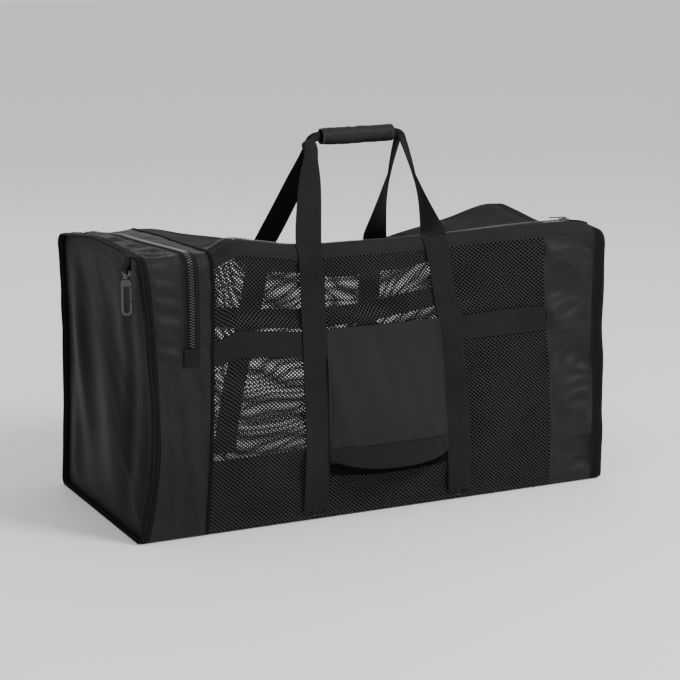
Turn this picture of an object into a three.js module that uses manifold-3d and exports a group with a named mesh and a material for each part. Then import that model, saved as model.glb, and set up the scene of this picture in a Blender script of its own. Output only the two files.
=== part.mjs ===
// A mesh dive gear bag: a soft box of nylon and net with an end pocket, a long top zip,
// webbing carry straps that meet in a padded grip, and a swivel snap hook on one end.
// Millimetres, +Z up. X runs along the bag, the end pocket is at -X, the front wall is at -Y.
// The origin is on the floor, under the middle of the bag.
import * as THREE from "three";
import { mergeVertices } from "three/addons/utils/BufferGeometryUtils.js";
import Module from "manifold-3d";

const wasm = await Module();
wasm.setup();

// The body
const BAG_LENGTH = 742;
const BAG_DEPTH = 326;
const BAG_HEIGHT = 396;
const TOP_RADIUS = 20;
const FLOOR_RADIUS = 10;
const CLOTH = 1.5;
const NET = 1.5;
const SEAM_GAP = 0.3;

// The ends
const POCKET_LENGTH = 100;
const LEFT_FLANGE_WIDTH = 15;
const RIGHT_FLANGE_WIDTH = 22;
const FLANGE_THICKNESS = 3;
const PIPING_WIDTH = 5;
const PIPING_THICKNESS = 3.5;
const RIGHT_BAND_WIDTH = 76;
const END_PILLOW = 6;
const END_WAIST = 20;

// The belts, straps and grip
const WEBBING_WIDTH = 38;
const WEBBING_THICKNESS = 2;
const BELT_WIDTH = 36;
const BELT_THICKNESS = 1.6;
const BELT_HEIGHT = 258;
const STRAP_SPACING = 234;
const STRAP_START_HEIGHT = 14;
const HANDLE_RISE = 130;
const GRIP_LENGTH = 118;
const GRIP_SHIFT = 33;
const GRIP_WALL = 3;
const GRIP_MOUTH = 12;
const LEG_LEAD = 14;
const LEG_SHARE = 0.88;
const FOLDED_WEBBING_WIDTH = 14;
const FOLDED_WEBBING_THICKNESS = 4;

// The top
const TOP_BAND_WIDTH = 15;
const BACK_BAND_WIDTH = 30;
const ZIP_TAPE_WIDTH = 26;
const ZIP_CHAIN_WIDTH = 6;
const ZIP_CHAIN_THICKNESS = 2.4;
const ZIP_TAB_LENGTH = 24;
const ZIP_TAB_THICKNESS = 2;
const SLIDER_LENGTH = 14;
const SLIDER_WIDTH = 11;
const SLIDER_PLAY = 1;
const PULL_LENGTH = 26;
const PULL_WIDTH = 8;
const PULL_THICKNESS = 2;
const PULL_NECK_WIDTH = 4;
const EAR_WIDTH = 1.4;
const EAR_REACH = 2;
const SLIDER_BODY_HEIGHT = 3.6;
const PULL_AXIS_HEIGHT = SLIDER_BODY_HEIGHT + PULL_THICKNESS / 2 + 0.6;

// The end pocket's zip
const END_ZIP_BOTTOM = 244;
const END_ZIP_FROM_PIPING = 34;
const END_ZIP_DRIFT = 30;

// The flat pocket on the front
const PATCH_TOP = 276;
const PATCH_BOTTOM = 106;
const PATCH_RISE = 12;
const HEM_HEIGHT = 34;
const HEM_THICKNESS = 2.4;
const HEM_RISE = 8;

// The net
const NET_GAP_WIDTH = 15;
const NET_GAP_HEIGHT = 13;
const NET_GAP_PITCH = 44;

// The snap hook
const LOOP_WIDTH = 20;
const LOOP_THICKNESS = 2;
const LOOP_DROP = 24;
const HOOK_INSET = 32;
const HOOK_LENGTH = 50;
const HOOK_WIDTH = 15;
const HOOK_WIRE = 4;
const HOOK_THICKNESS = 5;
const HOOK_HEAD = 10;
const HOOK_TURN = -26;
const EYE_BAR = 2.6;
const PIN_DIAMETER = 4;
const PIN_HEAD_DIAMETER = 6.4;
const PIN_HEAD_HEIGHT = 2;
const COLLAR_DIAMETER = 9;
const COLLAR_HEIGHT = 4;
const GATE_WIDTH = 3;
const GATE_THICKNESS = 3;
const GATE_LENGTH = 20;
const GATE_GAP = 0.4;

// Height of the top along the bag, as shares of the bag's height. The front edge stands, the middle and the
// back edge sag between the two ends.
const TOP_LINE = [
  { along: 0.0, front: 1.0, middle: 1.01, back: 0.975 },
  { along: 0.09, front: 1.0, middle: 1.0, back: 0.965 },
  { along: 0.15, front: 1.0, middle: 0.985, back: 0.97 },
  { along: 0.19, front: 1.035, middle: 0.975, back: 0.965 },
  { along: 0.25, front: 1.022, middle: 0.93, back: 0.94 },
  { along: 0.33, front: 1.002, middle: 0.87, back: 0.915 },
  { along: 0.43, front: 1.002, middle: 0.82, back: 0.878 },
  { along: 0.56, front: 1.002, middle: 0.805, back: 0.86 },
  { along: 0.67, front: 1.005, middle: 0.825, back: 0.85 },
  { along: 0.76, front: 1.008, middle: 0.875, back: 0.882 },
  { along: 0.86, front: 1.008, middle: 0.92, back: 0.92 },
  { along: 0.95, front: 1.0, middle: 0.935, back: 0.965 },
  { along: 1.0, front: 0.965, middle: 0.93, back: 0.965 },
];

// How far the walls stand out or fall in, at shares of the height. Front and back are shares of the depth,
// waist is a share of the waist of the ends.
const WALL_LINE = [
  { up: 0.0, front: 0.0, back: 0.03, waist: 0.0 },
  { up: 0.12, front: 0.012, back: 0.03, waist: 0.5 },
  { up: 0.3, front: 0.02, back: 0.014, waist: 0.95 },
  { up: 0.5, front: 0.012, back: 0.0, waist: 1.0 },
  { up: 0.64, front: 0.0, back: -0.006, waist: 0.95 },
  { up: 0.85, front: -0.006, back: 0.0, waist: 0.7 },
  { up: 1.0, front: -0.012, back: 0.0, waist: 0.4 },
];

// Soft dents and folds of the walls: place as shares of length and height, reach as shares of the same,
// depth as a share of the bag's depth, positive outwards. The lean tilts a fold's ridge.
const WALL_FOLDS = [
  { side: -1, along: 0.235, up: 0.8, wide: 0.05, tall: 0.12, lean: 0.3, depth: -0.02 },
  { side: -1, along: 0.27, up: 0.3, wide: 0.06, tall: 0.16, lean: -0.4, depth: 0.02 },
  { side: -1, along: 0.66, up: 0.84, wide: 0.05, tall: 0.1, lean: 0.6, depth: -0.018 },
  { side: -1, along: 0.76, up: 0.36, wide: 0.07, tall: 0.2, lean: 0.5, depth: 0.022 },
  { side: -1, along: 0.79, up: 0.75, wide: 0.06, tall: 0.1, lean: -0.4, depth: -0.014 },
  { side: -1, along: 0.94, up: 0.55, wide: 0.04, tall: 0.22, lean: 0.2, depth: -0.018 },
  { side: 1, along: 0.3, up: 0.45, wide: 0.1, tall: 0.2, lean: 0.3, depth: -0.03 },
  { side: 1, along: 0.55, up: 0.55, wide: 0.1, tall: 0.25, lean: -0.3, depth: -0.035 },
  { side: 1, along: 0.8, up: 0.4, wide: 0.08, tall: 0.22, lean: 0.3, depth: -0.025 },
];

// Dents and folds of the two end panels: across and up are shares of the half depth and the height,
// depth is a share of the end pillow, positive outwards.
const END_FOLDS = [
  { across: -0.62, up: 0.5, wide: 0.12, tall: 0.4, lean: -0.06, depth: -0.9 },
  { across: -0.3, up: 0.72, wide: 0.18, tall: 0.2, lean: 0.3, depth: -0.5 },
  { across: 0.55, up: 0.6, wide: 0.16, tall: 0.3, lean: 0.5, depth: 1.3 },
  { across: 0.75, up: 0.25, wide: 0.14, tall: 0.25, lean: -0.2, depth: 0.9 },
  { across: -0.1, up: 0.2, wide: 0.3, tall: 0.2, lean: 0.1, depth: 0.6 },
];

// Where the two carry straps run, x as shares of the strap spacing, at shares of the bag's height.
const FRONT_STRAP_LINE = [
  { up: 0.0, left: -0.482, right: 0.523 },
  { up: 0.28, left: -0.482, right: 0.49 },
  { up: 0.68, left: -0.485, right: 0.436 },
  { up: 1.0, left: -0.5, right: 0.335 },
];
const BACK_STRAP_LINE = [
  { up: 0.0, left: -0.482, right: 0.523 },
  { up: 0.4, left: -0.4, right: 0.55 },
  { up: 0.7, left: -0.3, right: 0.58 },
  { up: 1.0, left: -0.205, right: 0.615 },
];

// The carry legs between the bag's edge and the grip: width and thickness as shares of the webbing's,
// turn is the share of the quarter turn that lays the webbing into the grip.
const FOLDED_WIDTH_SHARE = FOLDED_WEBBING_WIDTH / WEBBING_WIDTH;
const FOLDED_THICKNESS_SHARE = FOLDED_WEBBING_THICKNESS / WEBBING_THICKNESS;
const LEG_LINE = [
  { up: 0.0, width: 1.0, thick: 1.0, turn: 0.0 },
  { up: 0.3, width: 1.0, thick: 1.0, turn: 0.08 },
  { up: 0.6, width: 0.88, thick: 1.0, turn: 0.4 },
  { up: 0.8, width: 0.52, thick: 1.6, turn: 0.9 },
  { up: 0.9, width: FOLDED_WIDTH_SHARE, thick: FOLDED_THICKNESS_SHARE, turn: 1.0 },
  { up: 1.0, width: FOLDED_WIDTH_SHARE, thick: FOLDED_THICKNESS_SHARE, turn: 1.0 },
];

// Runs along the section, from the middle of the floor over the front, the top and the back.
const FLOOR_RUN = BAG_DEPTH / 2 - FLOOR_RADIUS;
const FLOOR_CORNER = (Math.PI / 2) * FLOOR_RADIUS;
const TOP_CORNER = (Math.PI / 2) * TOP_RADIUS;
const WALL_RUN = BAG_HEIGHT - FLOOR_RADIUS - TOP_RADIUS;
const TOP_RUN = BAG_DEPTH - 2 * TOP_RADIUS;
const FRONT_START = FLOOR_RUN + FLOOR_CORNER;
const TOP_START = FRONT_START + WALL_RUN + TOP_CORNER;
const BACK_START = TOP_START + TOP_RUN + TOP_CORNER;
const GIRTH = BACK_START + WALL_RUN + FLOOR_CORNER + FLOOR_RUN;

const LEFT_END = -BAG_LENGTH / 2;
const RIGHT_END = BAG_LENGTH / 2;
const LIFT_OVER_CLOTH = CLOTH / 2 + SEAM_GAP;
const RING_STEP = 75;
const EDGE_BAND_STEP = 60;
const TOP_PANEL_STEP = 40;

const clamp = (value, low, high) => Math.min(high, Math.max(low, value));
const mix = (a, b, share) => a + (b - a) * share;
const ease = (share) => {
  const t = clamp(share, 0, 1);
  return t * t * (3 - 2 * t);
};
const hump = (distance) => Math.exp(-distance * distance);

// Reads one column of a table at a place between its rows, with eased steps between neighbours.
function lookup(table, key, place, column) {
  const last = table.length - 1;
  if (place <= table[0][key]) return table[0][column];
  if (place >= table[last][key]) return table[last][column];
  const i = table.findIndex((row) => row[key] > place) - 1;
  const share = (place - table[i][key]) / (table[i + 1][key] - table[i][key]);
  const before = table[Math.max(i - 1, 0)];
  const after = table[Math.min(i + 2, last)];
  const slopeIn = (table[i + 1][column] - before[column]) / (table[i + 1][key] - before[key]);
  const slopeOut = (after[column] - table[i][column]) / (after[key] - table[i][key]);
  const width = table[i + 1][key] - table[i][key];
  const a = table[i][column];
  const b = table[i + 1][column];
  const s2 = share * share;
  const s3 = s2 * share;
  return (
    a * (2 * s3 - 3 * s2 + 1) +
    slopeIn * width * (s3 - 2 * s2 + share) +
    b * (3 * s2 - 2 * s3) +
    slopeOut * width * (s3 - s2)
  );
}

// The plain section: a rounded rectangle that stands on the floor. Gives y and z at a run along it.
function section(run) {
  const s = ((run % GIRTH) + GIRTH) % GIRTH;
  const half = BAG_DEPTH / 2;
  const low = FLOOR_RADIUS;
  const high = TOP_RADIUS;
  const arc = (start, r, y, z, from) => {
    const angle = from - (s - start) / r;
    return { y: y + r * Math.cos(angle), z: z + r * Math.sin(angle) };
  };
  if (s < FLOOR_RUN) return { y: -s, z: 0 };
  if (s < FRONT_START) return arc(FLOOR_RUN, low, -half + low, low, -Math.PI / 2);
  if (s < FRONT_START + WALL_RUN) return { y: -half, z: low + s - FRONT_START };
  if (s < TOP_START) return arc(FRONT_START + WALL_RUN, high, -half + high, BAG_HEIGHT - high, Math.PI);
  if (s < TOP_START + TOP_RUN) return { y: -half + high + s - TOP_START, z: BAG_HEIGHT };
  if (s < BACK_START) return arc(TOP_START + TOP_RUN, high, half - high, BAG_HEIGHT - high, Math.PI / 2);
  if (s < BACK_START + WALL_RUN) return { y: half, z: BAG_HEIGHT - high - (s - BACK_START) };
  if (s < GIRTH - FLOOR_RUN) return arc(BACK_START + WALL_RUN, low, half - low, low, 0);
  return { y: GIRTH - s, z: 0 };
}

// Runs of heights on the two walls, and of distances from the front edge on the top.
const frontRun = (height) => FRONT_START + height - FLOOR_RADIUS;
const backRun = (height) => BACK_START + BAG_HEIGHT - TOP_RADIUS - height;
const topRun = (inset) => TOP_START + inset - TOP_RADIUS;
const FRONT_CREST = FRONT_START + WALL_RUN + TOP_CORNER / 2;
const BACK_CREST = TOP_START + TOP_RUN + TOP_CORNER / 2;

// The share of the height reached at a run, for tables that are read by height.
const upAt = (run) => section(run).z / BAG_HEIGHT;

// Shapes the plain box into the soft bag: the top line sags, the walls belly and the ends draw in.
function soften(x, run) {
  const plain = section(run);
  const along = clamp((x - LEFT_END) / BAG_LENGTH, 0, 1);
  const up = plain.z / BAG_HEIGHT;
  const back = clamp(plain.y / BAG_DEPTH + 0.5, 0, 1);
  const front = lookup(TOP_LINE, "along", along, "front");
  const middle = lookup(TOP_LINE, "along", along, "middle");
  const rear = lookup(TOP_LINE, "along", along, "back");
  const top = back < 0.5 ? mix(front, middle, ease(back * 2)) : mix(middle, rear, ease(back * 2 - 1));
  const side = plain.y < 0 ? -1 : 1;
  const wallShare = Math.pow(Math.abs(plain.y) / (BAG_DEPTH / 2), 3);
  let out = lookup(WALL_LINE, "up", up, side < 0 ? "front" : "back");
  for (const fold of WALL_FOLDS) {
    if (fold.side !== side) continue;
    const rise = (up - fold.up) / fold.tall;
    const reach = (along - fold.along) / fold.wide - fold.lean * rise;
    out += fold.depth * hump(reach) * hump(rise) * Math.min(1, up / 0.1);
  }
  const endShare = Math.pow(Math.abs(2 * along - 1), 6);
  const waist = END_WAIST * lookup(WALL_LINE, "up", up, "waist") * endShare * mix(1, 0.2, back);
  return new THREE.Vector3(
    x + (along < 0.5 ? waist : -waist * 0.25),
    plain.y + side * out * BAG_DEPTH * wallShare,
    CLOTH / 2 + plain.z * top,
  );
}

// A place on the soft body, moved outwards from it, with the directions along x, along the run and outwards.
function skin(x, run, out = 0) {
  const step = 1;
  const alongX = soften(x + step, run).sub(soften(x - step, run)).normalize();
  const alongRun = soften(x, run + step).sub(soften(x, run - step)).normalize();
  const outward = new THREE.Vector3().crossVectors(alongX, alongRun).normalize();
  return { point: soften(x, run).addScaledVector(outward, out), alongX, alongRun, outward };
}

// The runs from one place to another, with a stop at each end of a rounded corner and short steps in it.
function stops(from, to, step, extra = []) {
  const corners = [FLOOR_RUN, FRONT_START, FRONT_START + WALL_RUN, TOP_START];
  corners.push(TOP_START + TOP_RUN, BACK_START, BACK_START + WALL_RUN, GIRTH - FLOOR_RUN);
  const marks = corners.flatMap((mark) => [mark - GIRTH, mark, mark + GIRTH]).concat(extra);
  const inside = marks.filter((mark) => mark > from + 2 && mark < to - 2).sort((a, b) => a - b);
  const kept = inside.filter((mark, i) => i === 0 || mark - inside[i - 1] > 1);
  const edges = [from, ...kept, to];
  const runs = [from];
  for (let i = 1; i < edges.length; i += 1) {
    const middle = (((edges[i] + edges[i - 1]) / 2) % GIRTH + GIRTH) % GIRTH;
    const bent = corners.some((mark, k) => k % 2 === 0 && middle > mark && middle < corners[k + 1]);
    const count = Math.max(1, Math.ceil((edges[i] - edges[i - 1]) / (bent ? TOP_CORNER / 3 : step)));
    for (let k = 1; k <= count; k += 1) runs.push(mix(edges[i - 1], edges[i], k / count));
  }
  return runs;
}

// Collects points and triangles, and gives them back as a geometry.
class Solid {
  constructor() {
    this.points = [];
    this.faces = [];
  }

  point(vector) {
    this.points.push(vector.x, vector.y, vector.z);
    return this.points.length / 3 - 1;
  }

  triangle(a, b, c) {
    this.faces.push(a, b, c);
  }

  quad(a, b, c, d) {
    this.triangle(a, b, c);
    this.triangle(a, c, d);
  }

  geometry() {
    const geometry = new THREE.BufferGeometry();
    geometry.setAttribute("position", new THREE.Float32BufferAttribute(this.points, 3));
    geometry.setIndex(this.faces);
    geometry.computeVertexNormals();
    return geometry;
  }
}

// The x stations of a panel, spread evenly between two lines, and two such spreads side by side.
const spread = (left, right, count) => (run) =>
  Array.from({ length: count + 1 }, (_, i) => mix(left(run), right(run), i / count));
const sideBySide = (first, second) => (run) => [...first(run).slice(0, -1), ...second(run)];

// A cloth wall on the body over a grid of x stations and runs. The wall is `thick`, its middle lies `lift`
// outwards, and the cells that `open` names have a diamond gap.
function clothPanel({ across, runs, thick, lift = () => 0, open = () => false, ring = false }) {
  const solid = new Solid();
  const rows = ring ? runs.length - 1 : runs.length;
  const xs = runs.map((run) => across(run));
  const columns = xs[0].length - 1;
  const layer = (side) =>
    xs.slice(0, rows).map((row, j) =>
      row.map((x) => solid.point(skin(x, runs[j], lift(x, runs[j]) + (side * thick) / 2).point)),
    );
  const outer = layer(1);
  const inner = layer(-1);
  const cells = ring ? rows : rows - 1;
  for (let j = 0; j < cells; j += 1) {
    const k = (j + 1) % rows;
    for (let i = 0; i < columns; i += 1) {
      const a = [outer[j][i], outer[j][i + 1], outer[k][i + 1], outer[k][i]];
      const b = [inner[j][i], inner[j][i + 1], inner[k][i + 1], inner[k][i]];
      if (!open(i, j)) {
        solid.quad(...a);
        solid.quad(b[0], b[3], b[2], b[1]);
        continue;
      }
      const run = (runs[j] + runs[j + 1]) / 2;
      const x = (xs[j][i] + xs[j + 1][i + 1]) / 2;
      const halfWide = Math.min(NET_GAP_WIDTH / 2, (xs[j][i + 1] - xs[j][i]) * 0.42);
      const halfTall = Math.min(NET_GAP_HEIGHT / 2, (runs[j + 1] - runs[j]) * 0.42);
      const tips = [
        [x, run - halfTall],
        [x + halfWide, run],
        [x, run + halfTall],
        [x - halfWide, run],
      ];
      const tip = (out) => tips.map(([tx, tr]) => solid.point(skin(tx, tr, lift(tx, tr) + out).point));
      const front = tip(thick / 2);
      const rear = tip(-thick / 2);
      for (let n = 0; n < 4; n += 1) {
        const m = (n + 1) % 4;
        solid.triangle(a[n], a[m], front[n]);
        solid.triangle(a[m], front[m], front[n]);
        solid.triangle(b[m], b[n], rear[n]);
        solid.triangle(b[m], rear[n], rear[m]);
        solid.quad(front[n], front[m], rear[m], rear[n]);
      }
    }
    solid.quad(inner[j][0], outer[j][0], outer[k][0], inner[k][0]);
    solid.quad(outer[j][columns], inner[j][columns], inner[k][columns], outer[k][columns]);
  }
  if (!ring) {
    const end = rows - 1;
    for (let i = 0; i < columns; i += 1) {
      solid.quad(outer[0][i + 1], outer[0][i], inner[0][i], inner[0][i + 1]);
      solid.quad(outer[end][i], outer[end][i + 1], inner[end][i + 1], inner[end][i]);
    }
  }
  return solid.geometry();
}

// A cloth wall across the bag at an end line x(run): rings from the section's edge to a middle point.
// `inset` is how far its edge keeps inside the body, `pillow(across, up, share)` moves it along x.
function endPanel({ x, inset, pillow, thick, faces, rings = [1, 0.95, 0.76, 0.42] }) {
  const solid = new Solid();
  const runs = RING_ROWS;
  const count = runs.length - 1;
  const rim = runs.slice(0, count).map((run) => skin(x(run), run, -inset(run)).point);
  const middle = rim.reduce((sum, p) => sum.add(p), new THREE.Vector3()).divideScalar(count);
  middle.z = BAG_HEIGHT / 2;
  const place = (p, share, side) => {
    const q = middle.clone().lerp(p, share);
    q.x = mix(middle.x, p.x, share * share);
    const across = q.y / (BAG_DEPTH / 2);
    const up = q.z / BAG_HEIGHT;
    q.x += faces * pillow(across, up, share) + (faces * side * thick) / 2;
    return q;
  };
  const sides = [1, -1].map((side) => ({
    side,
    loops: rings.map((share) => rim.map((p) => solid.point(place(p, share, side)))),
    hub: solid.point(place(middle, 0, side)),
  }));
  const flip = faces > 0 ? 1 : -1;
  const put = (a, b, c, side) => (side * flip > 0 ? solid.triangle(a, b, c) : solid.triangle(a, c, b));
  for (const { side, loops, hub } of sides) {
    for (let j = 0; j < count; j += 1) {
      const k = (j + 1) % count;
      for (let n = 0; n + 1 < rings.length; n += 1) {
        put(loops[n][j], loops[n + 1][j], loops[n + 1][k], side);
        put(loops[n][j], loops[n + 1][k], loops[n][k], side);
      }
      put(loops[rings.length - 1][j], hub, loops[rings.length - 1][k], side);
    }
  }
  const [near, far] = [sides[0].loops[0], sides[1].loops[0]];
  for (let j = 0; j < count; j += 1) {
    const k = (j + 1) % count;
    put(near[j], near[k], far[k], 1);
    put(near[j], far[k], far[j], 1);
  }
  return solid.geometry();
}

// A strip with a rectangular section carried through stations that give point, side, ahead, width and thick.
function ribbon(stations) {
  const solid = new Solid();
  const loops = stations.map(({ point, side, ahead, width, thick, corners: ready }) => {
    if (ready) return ready.map((corner) => solid.point(corner));
    const wide = side.clone().addScaledVector(ahead, -side.dot(ahead)).normalize();
    const high = new THREE.Vector3().crossVectors(wide, ahead).normalize();
    const corners = [
      [-1, -1],
      [1, -1],
      [1, 1],
      [-1, 1],
    ];
    return corners.map(([a, b]) => {
      const place = point.clone().addScaledVector(wide, (a * width) / 2);
      return solid.point(place.addScaledVector(high, (b * thick) / 2));
    });
  });
  for (let i = 0; i + 1 < loops.length; i += 1) {
    for (let n = 0; n < 4; n += 1) {
      const m = (n + 1) % 4;
      solid.quad(loops[i][n], loops[i + 1][n], loops[i + 1][m], loops[i][m]);
    }
  }
  const [a, b, c, d] = loops[0];
  solid.quad(a, b, c, d);
  const [e, f, g, h] = loops[loops.length - 1];
  solid.quad(h, g, f, e);
  return solid.geometry();
}

// A tube carried along points, with an oval section and an optional hollow through it.
function ovalTube({ points, side, halfWide, halfTall, wall = 0, sides = 12 }) {
  const solid = new Solid();
  const last = points.length - 1;
  const frame = points.map((point, i) => {
    const ahead = points[Math.min(i + 1, last)].clone().sub(points[Math.max(i - 1, 0)]).normalize();
    const wide = side.clone().addScaledVector(ahead, -side.dot(ahead)).normalize();
    return { point, wide, high: new THREE.Vector3().crossVectors(ahead, wide) };
  });
  const loop = ({ point, wide, high }, a, b) =>
    Array.from({ length: sides }, (_, n) => {
      const angle = (2 * Math.PI * n) / sides;
      const spot = point.clone().addScaledVector(wide, a * Math.cos(angle));
      return solid.point(spot.addScaledVector(high, b * Math.sin(angle)));
    });
  const outer = frame.map((f) => loop(f, halfWide, halfTall));
  const inner = wall ? frame.map((f) => loop(f, halfWide - wall, halfTall - wall)) : null;
  for (let n = 0; n < sides; n += 1) {
    const m = (n + 1) % sides;
    for (let i = 0; i < last; i += 1) {
      solid.quad(outer[i][n], outer[i][m], outer[i + 1][m], outer[i + 1][n]);
      if (inner) solid.quad(inner[i][m], inner[i][n], inner[i + 1][n], inner[i + 1][m]);
    }
    if (inner) {
      solid.quad(outer[0][m], outer[0][n], inner[0][n], inner[0][m]);
      solid.quad(outer[last][n], outer[last][m], inner[last][m], inner[last][n]);
    }
  }
  if (!inner) {
    for (let n = 1; n + 1 < sides; n += 1) {
      solid.triangle(outer[0][0], outer[0][n + 1], outer[0][n]);
      solid.triangle(outer[last][0], outer[last][n], outer[last][n + 1]);
    }
  }
  return solid.geometry();
}

// A rounded plate: an outline in its own plane, given a thickness, with bevelled edges.
function plate(shape, thick, bevel) {
  const geometry = new THREE.ExtrudeGeometry(shape, {
    depth: thick - 2 * bevel,
    bevelEnabled: bevel > 0,
    bevelThickness: bevel,
    bevelSize: bevel,
    bevelOffset: -bevel,
    bevelSegments: 1,
    curveSegments: 5,
  });
  geometry.translate(0, 0, -(thick - 2 * bevel) / 2);
  return geometry;
}

// A geometry as a closed solid for joining and cutting, and back again.
function solidOf(geometry) {
  const bare = geometry.index ? geometry.toNonIndexed() : geometry.clone();
  for (const name of ["normal", "uv"]) bare.deleteAttribute(name);
  const merged = mergeVertices(bare, 1e-4);
  const vertProperties = merged.attributes.position.array;
  const triVerts = new Uint32Array(merged.index.array);
  return new wasm.Manifold(new wasm.Mesh({ numProp: 3, vertProperties, triVerts }));
}
function geometryOf(solid) {
  const { vertProperties, triVerts } = solid.getMesh();
  const geometry = new THREE.BufferGeometry();
  geometry.setAttribute("position", new THREE.Float32BufferAttribute(vertProperties, 3));
  geometry.setIndex([...triVerts]);
  geometry.computeVertexNormals();
  return geometry;
}

const bag = new THREE.Group();

const FINISHES = {
  nylon: { color: 0x2a292a, roughness: 0.55, metalness: 0 },
  net: { color: 0x1e1e1f, roughness: 0.7, metalness: 0 },
  webbing: { color: 0x252526, roughness: 0.8, metalness: 0 },
  patch: { color: 0x2f2f31, roughness: 0.7, metalness: 0 },
  binding: { color: 0x222223, roughness: 0.75, metalness: 0 },
  zip: { color: 0x202021, roughness: 0.5, metalness: 0 },
  grip: { color: 0x303033, roughness: 0.6, metalness: 0 },
  hard: { color: 0x2b2c2d, roughness: 0.35, metalness: 0.1 },
  steel: { color: 0x9a9a9c, roughness: 0.3, metalness: 0.9 },
};

// Adds one named piece to the bag, or to a group in it.
function piece(name, geometry, finish, group = bag) {
  const mesh = new THREE.Mesh(geometry, new THREE.MeshStandardMaterial(FINISHES[finish]));
  mesh.name = name;
  group.add(mesh);
  return mesh;
}

// Lines across the bag that its pieces share. Each gives x at a run.
const leftSeam = () => LEFT_END;
const rightSeam = () => RIGHT_END;
const pipingLine = (run) => LEFT_END + POCKET_LENGTH + mix(-8, 6, ease(upAt(run)));
const RIGHT_BAND_START = RIGHT_END - RIGHT_FLANGE_WIDTH - RIGHT_BAND_WIDTH;
const rightBandLine = (run) => RIGHT_BAND_START + mix(4, -12, ease(upAt(run)));
const offsetLine = (line, by) => (run) => line(run) + by;

// The end zip keeps its distance from the piping at the front and drifts to the end over the top.
function endZipLine(run) {
  const overTop = ease((run - FRONT_CREST) / (topRun(BAG_DEPTH * 0.55) - FRONT_CREST));
  const down = ease((run - BACK_CREST) / (BACK_START - BACK_CREST + TOP_RADIUS));
  return pipingLine(run) - END_ZIP_FROM_PIPING - END_ZIP_DRIFT * overTop * (1 - down);
}

// The piping stands out from the walls and keeps above the floor.
const pipingLift = (run) => mix(-1, 1, ease(upAt(run) / 0.06)) * ((PIPING_THICKNESS - CLOTH) / 2);

// The rows of everything that runs round the section at the ends, with a stop where the end zip begins.
const END_ZIP_FROM = frontRun(END_ZIP_BOTTOM);
const END_ZIP_TO = backRun(END_ZIP_BOTTOM);
const END_CHAIN_FROM = END_ZIP_FROM + ZIP_TAB_LENGTH;
const END_CHAIN_TO = END_ZIP_TO - ZIP_TAB_LENGTH;
const END_ZIP_MARKS = [END_ZIP_FROM, END_CHAIN_FROM, END_CHAIN_TO, END_ZIP_TO];
const RING_ROWS = stops(0, GIRTH, RING_STEP, END_ZIP_MARKS);
const ringPart = (from, to) => {
  const rows = [...RING_ROWS.map((run) => run - GIRTH), ...RING_ROWS];
  return [from, ...rows.filter((run) => run > from + 2 && run < to - 2), to];
};

// Seats a thicker piece flush with the outside of the cloth.
const flush = (thick) => () => -(thick - CLOTH) / 2;

function buildEnds() {
  const ringRuns = RING_ROWS;
  const leftInner = offsetLine(leftSeam, LEFT_FLANGE_WIDTH / 2);
  piece(
    "end_flange_left",
    clothPanel({
      across: spread(offsetLine(leftSeam, -LEFT_FLANGE_WIDTH / 2), offsetLine(leftInner, -SEAM_GAP), 1),
      runs: ringRuns,
      thick: FLANGE_THICKNESS,
      lift: flush(FLANGE_THICKNESS),
      ring: true,
    }),
    "binding",
  );
  const rightInner = offsetLine(rightSeam, -RIGHT_FLANGE_WIDTH);
  piece(
    "end_flange_right",
    clothPanel({
      across: spread(offsetLine(rightInner, SEAM_GAP), rightSeam, 1),
      runs: ringRuns,
      thick: FLANGE_THICKNESS,
      lift: flush(FLANGE_THICKNESS),
      ring: true,
    }),
    "binding",
  );
  const folds = (across, up) =>
    END_FOLDS.reduce((sum, fold) => {
      const rise = (up - fold.up) / fold.tall;
      const reach = (across - fold.across) / fold.wide - fold.lean * rise;
      return sum + fold.depth * hump(reach) * hump(rise);
    }, 0);
  const pillow = (across, up, share) => {
    const free = 1 - Math.pow(share, 4);
    return END_PILLOW * free * (0.5 + folds(across, up));
  };
  const panelInset = () => FLANGE_THICKNESS - CLOTH / 2 + SEAM_GAP;
  piece(
    "end_panel_left",
    endPanel({ x: offsetLine(leftSeam, 1), inset: panelInset, pillow, thick: CLOTH, faces: -1 }),
    "nylon",
  );
  piece(
    "end_panel_right",
    endPanel({
      x: offsetLine(rightInner, FLANGE_THICKNESS),
      inset: panelInset,
      pillow,
      thick: CLOTH,
      faces: 1,
    }),
    "nylon",
  );
  const flat = () => 0;
  piece(
    "pocket_divider",
    endPanel({
      x: pipingLine,
      inset: (run) => PIPING_THICKNESS / 2 - pipingLift(run) + SEAM_GAP,
      pillow: flat,
      thick: CLOTH,
      faces: -1,
      rings: [1],
    }),
    "nylon",
  );
}

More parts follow.
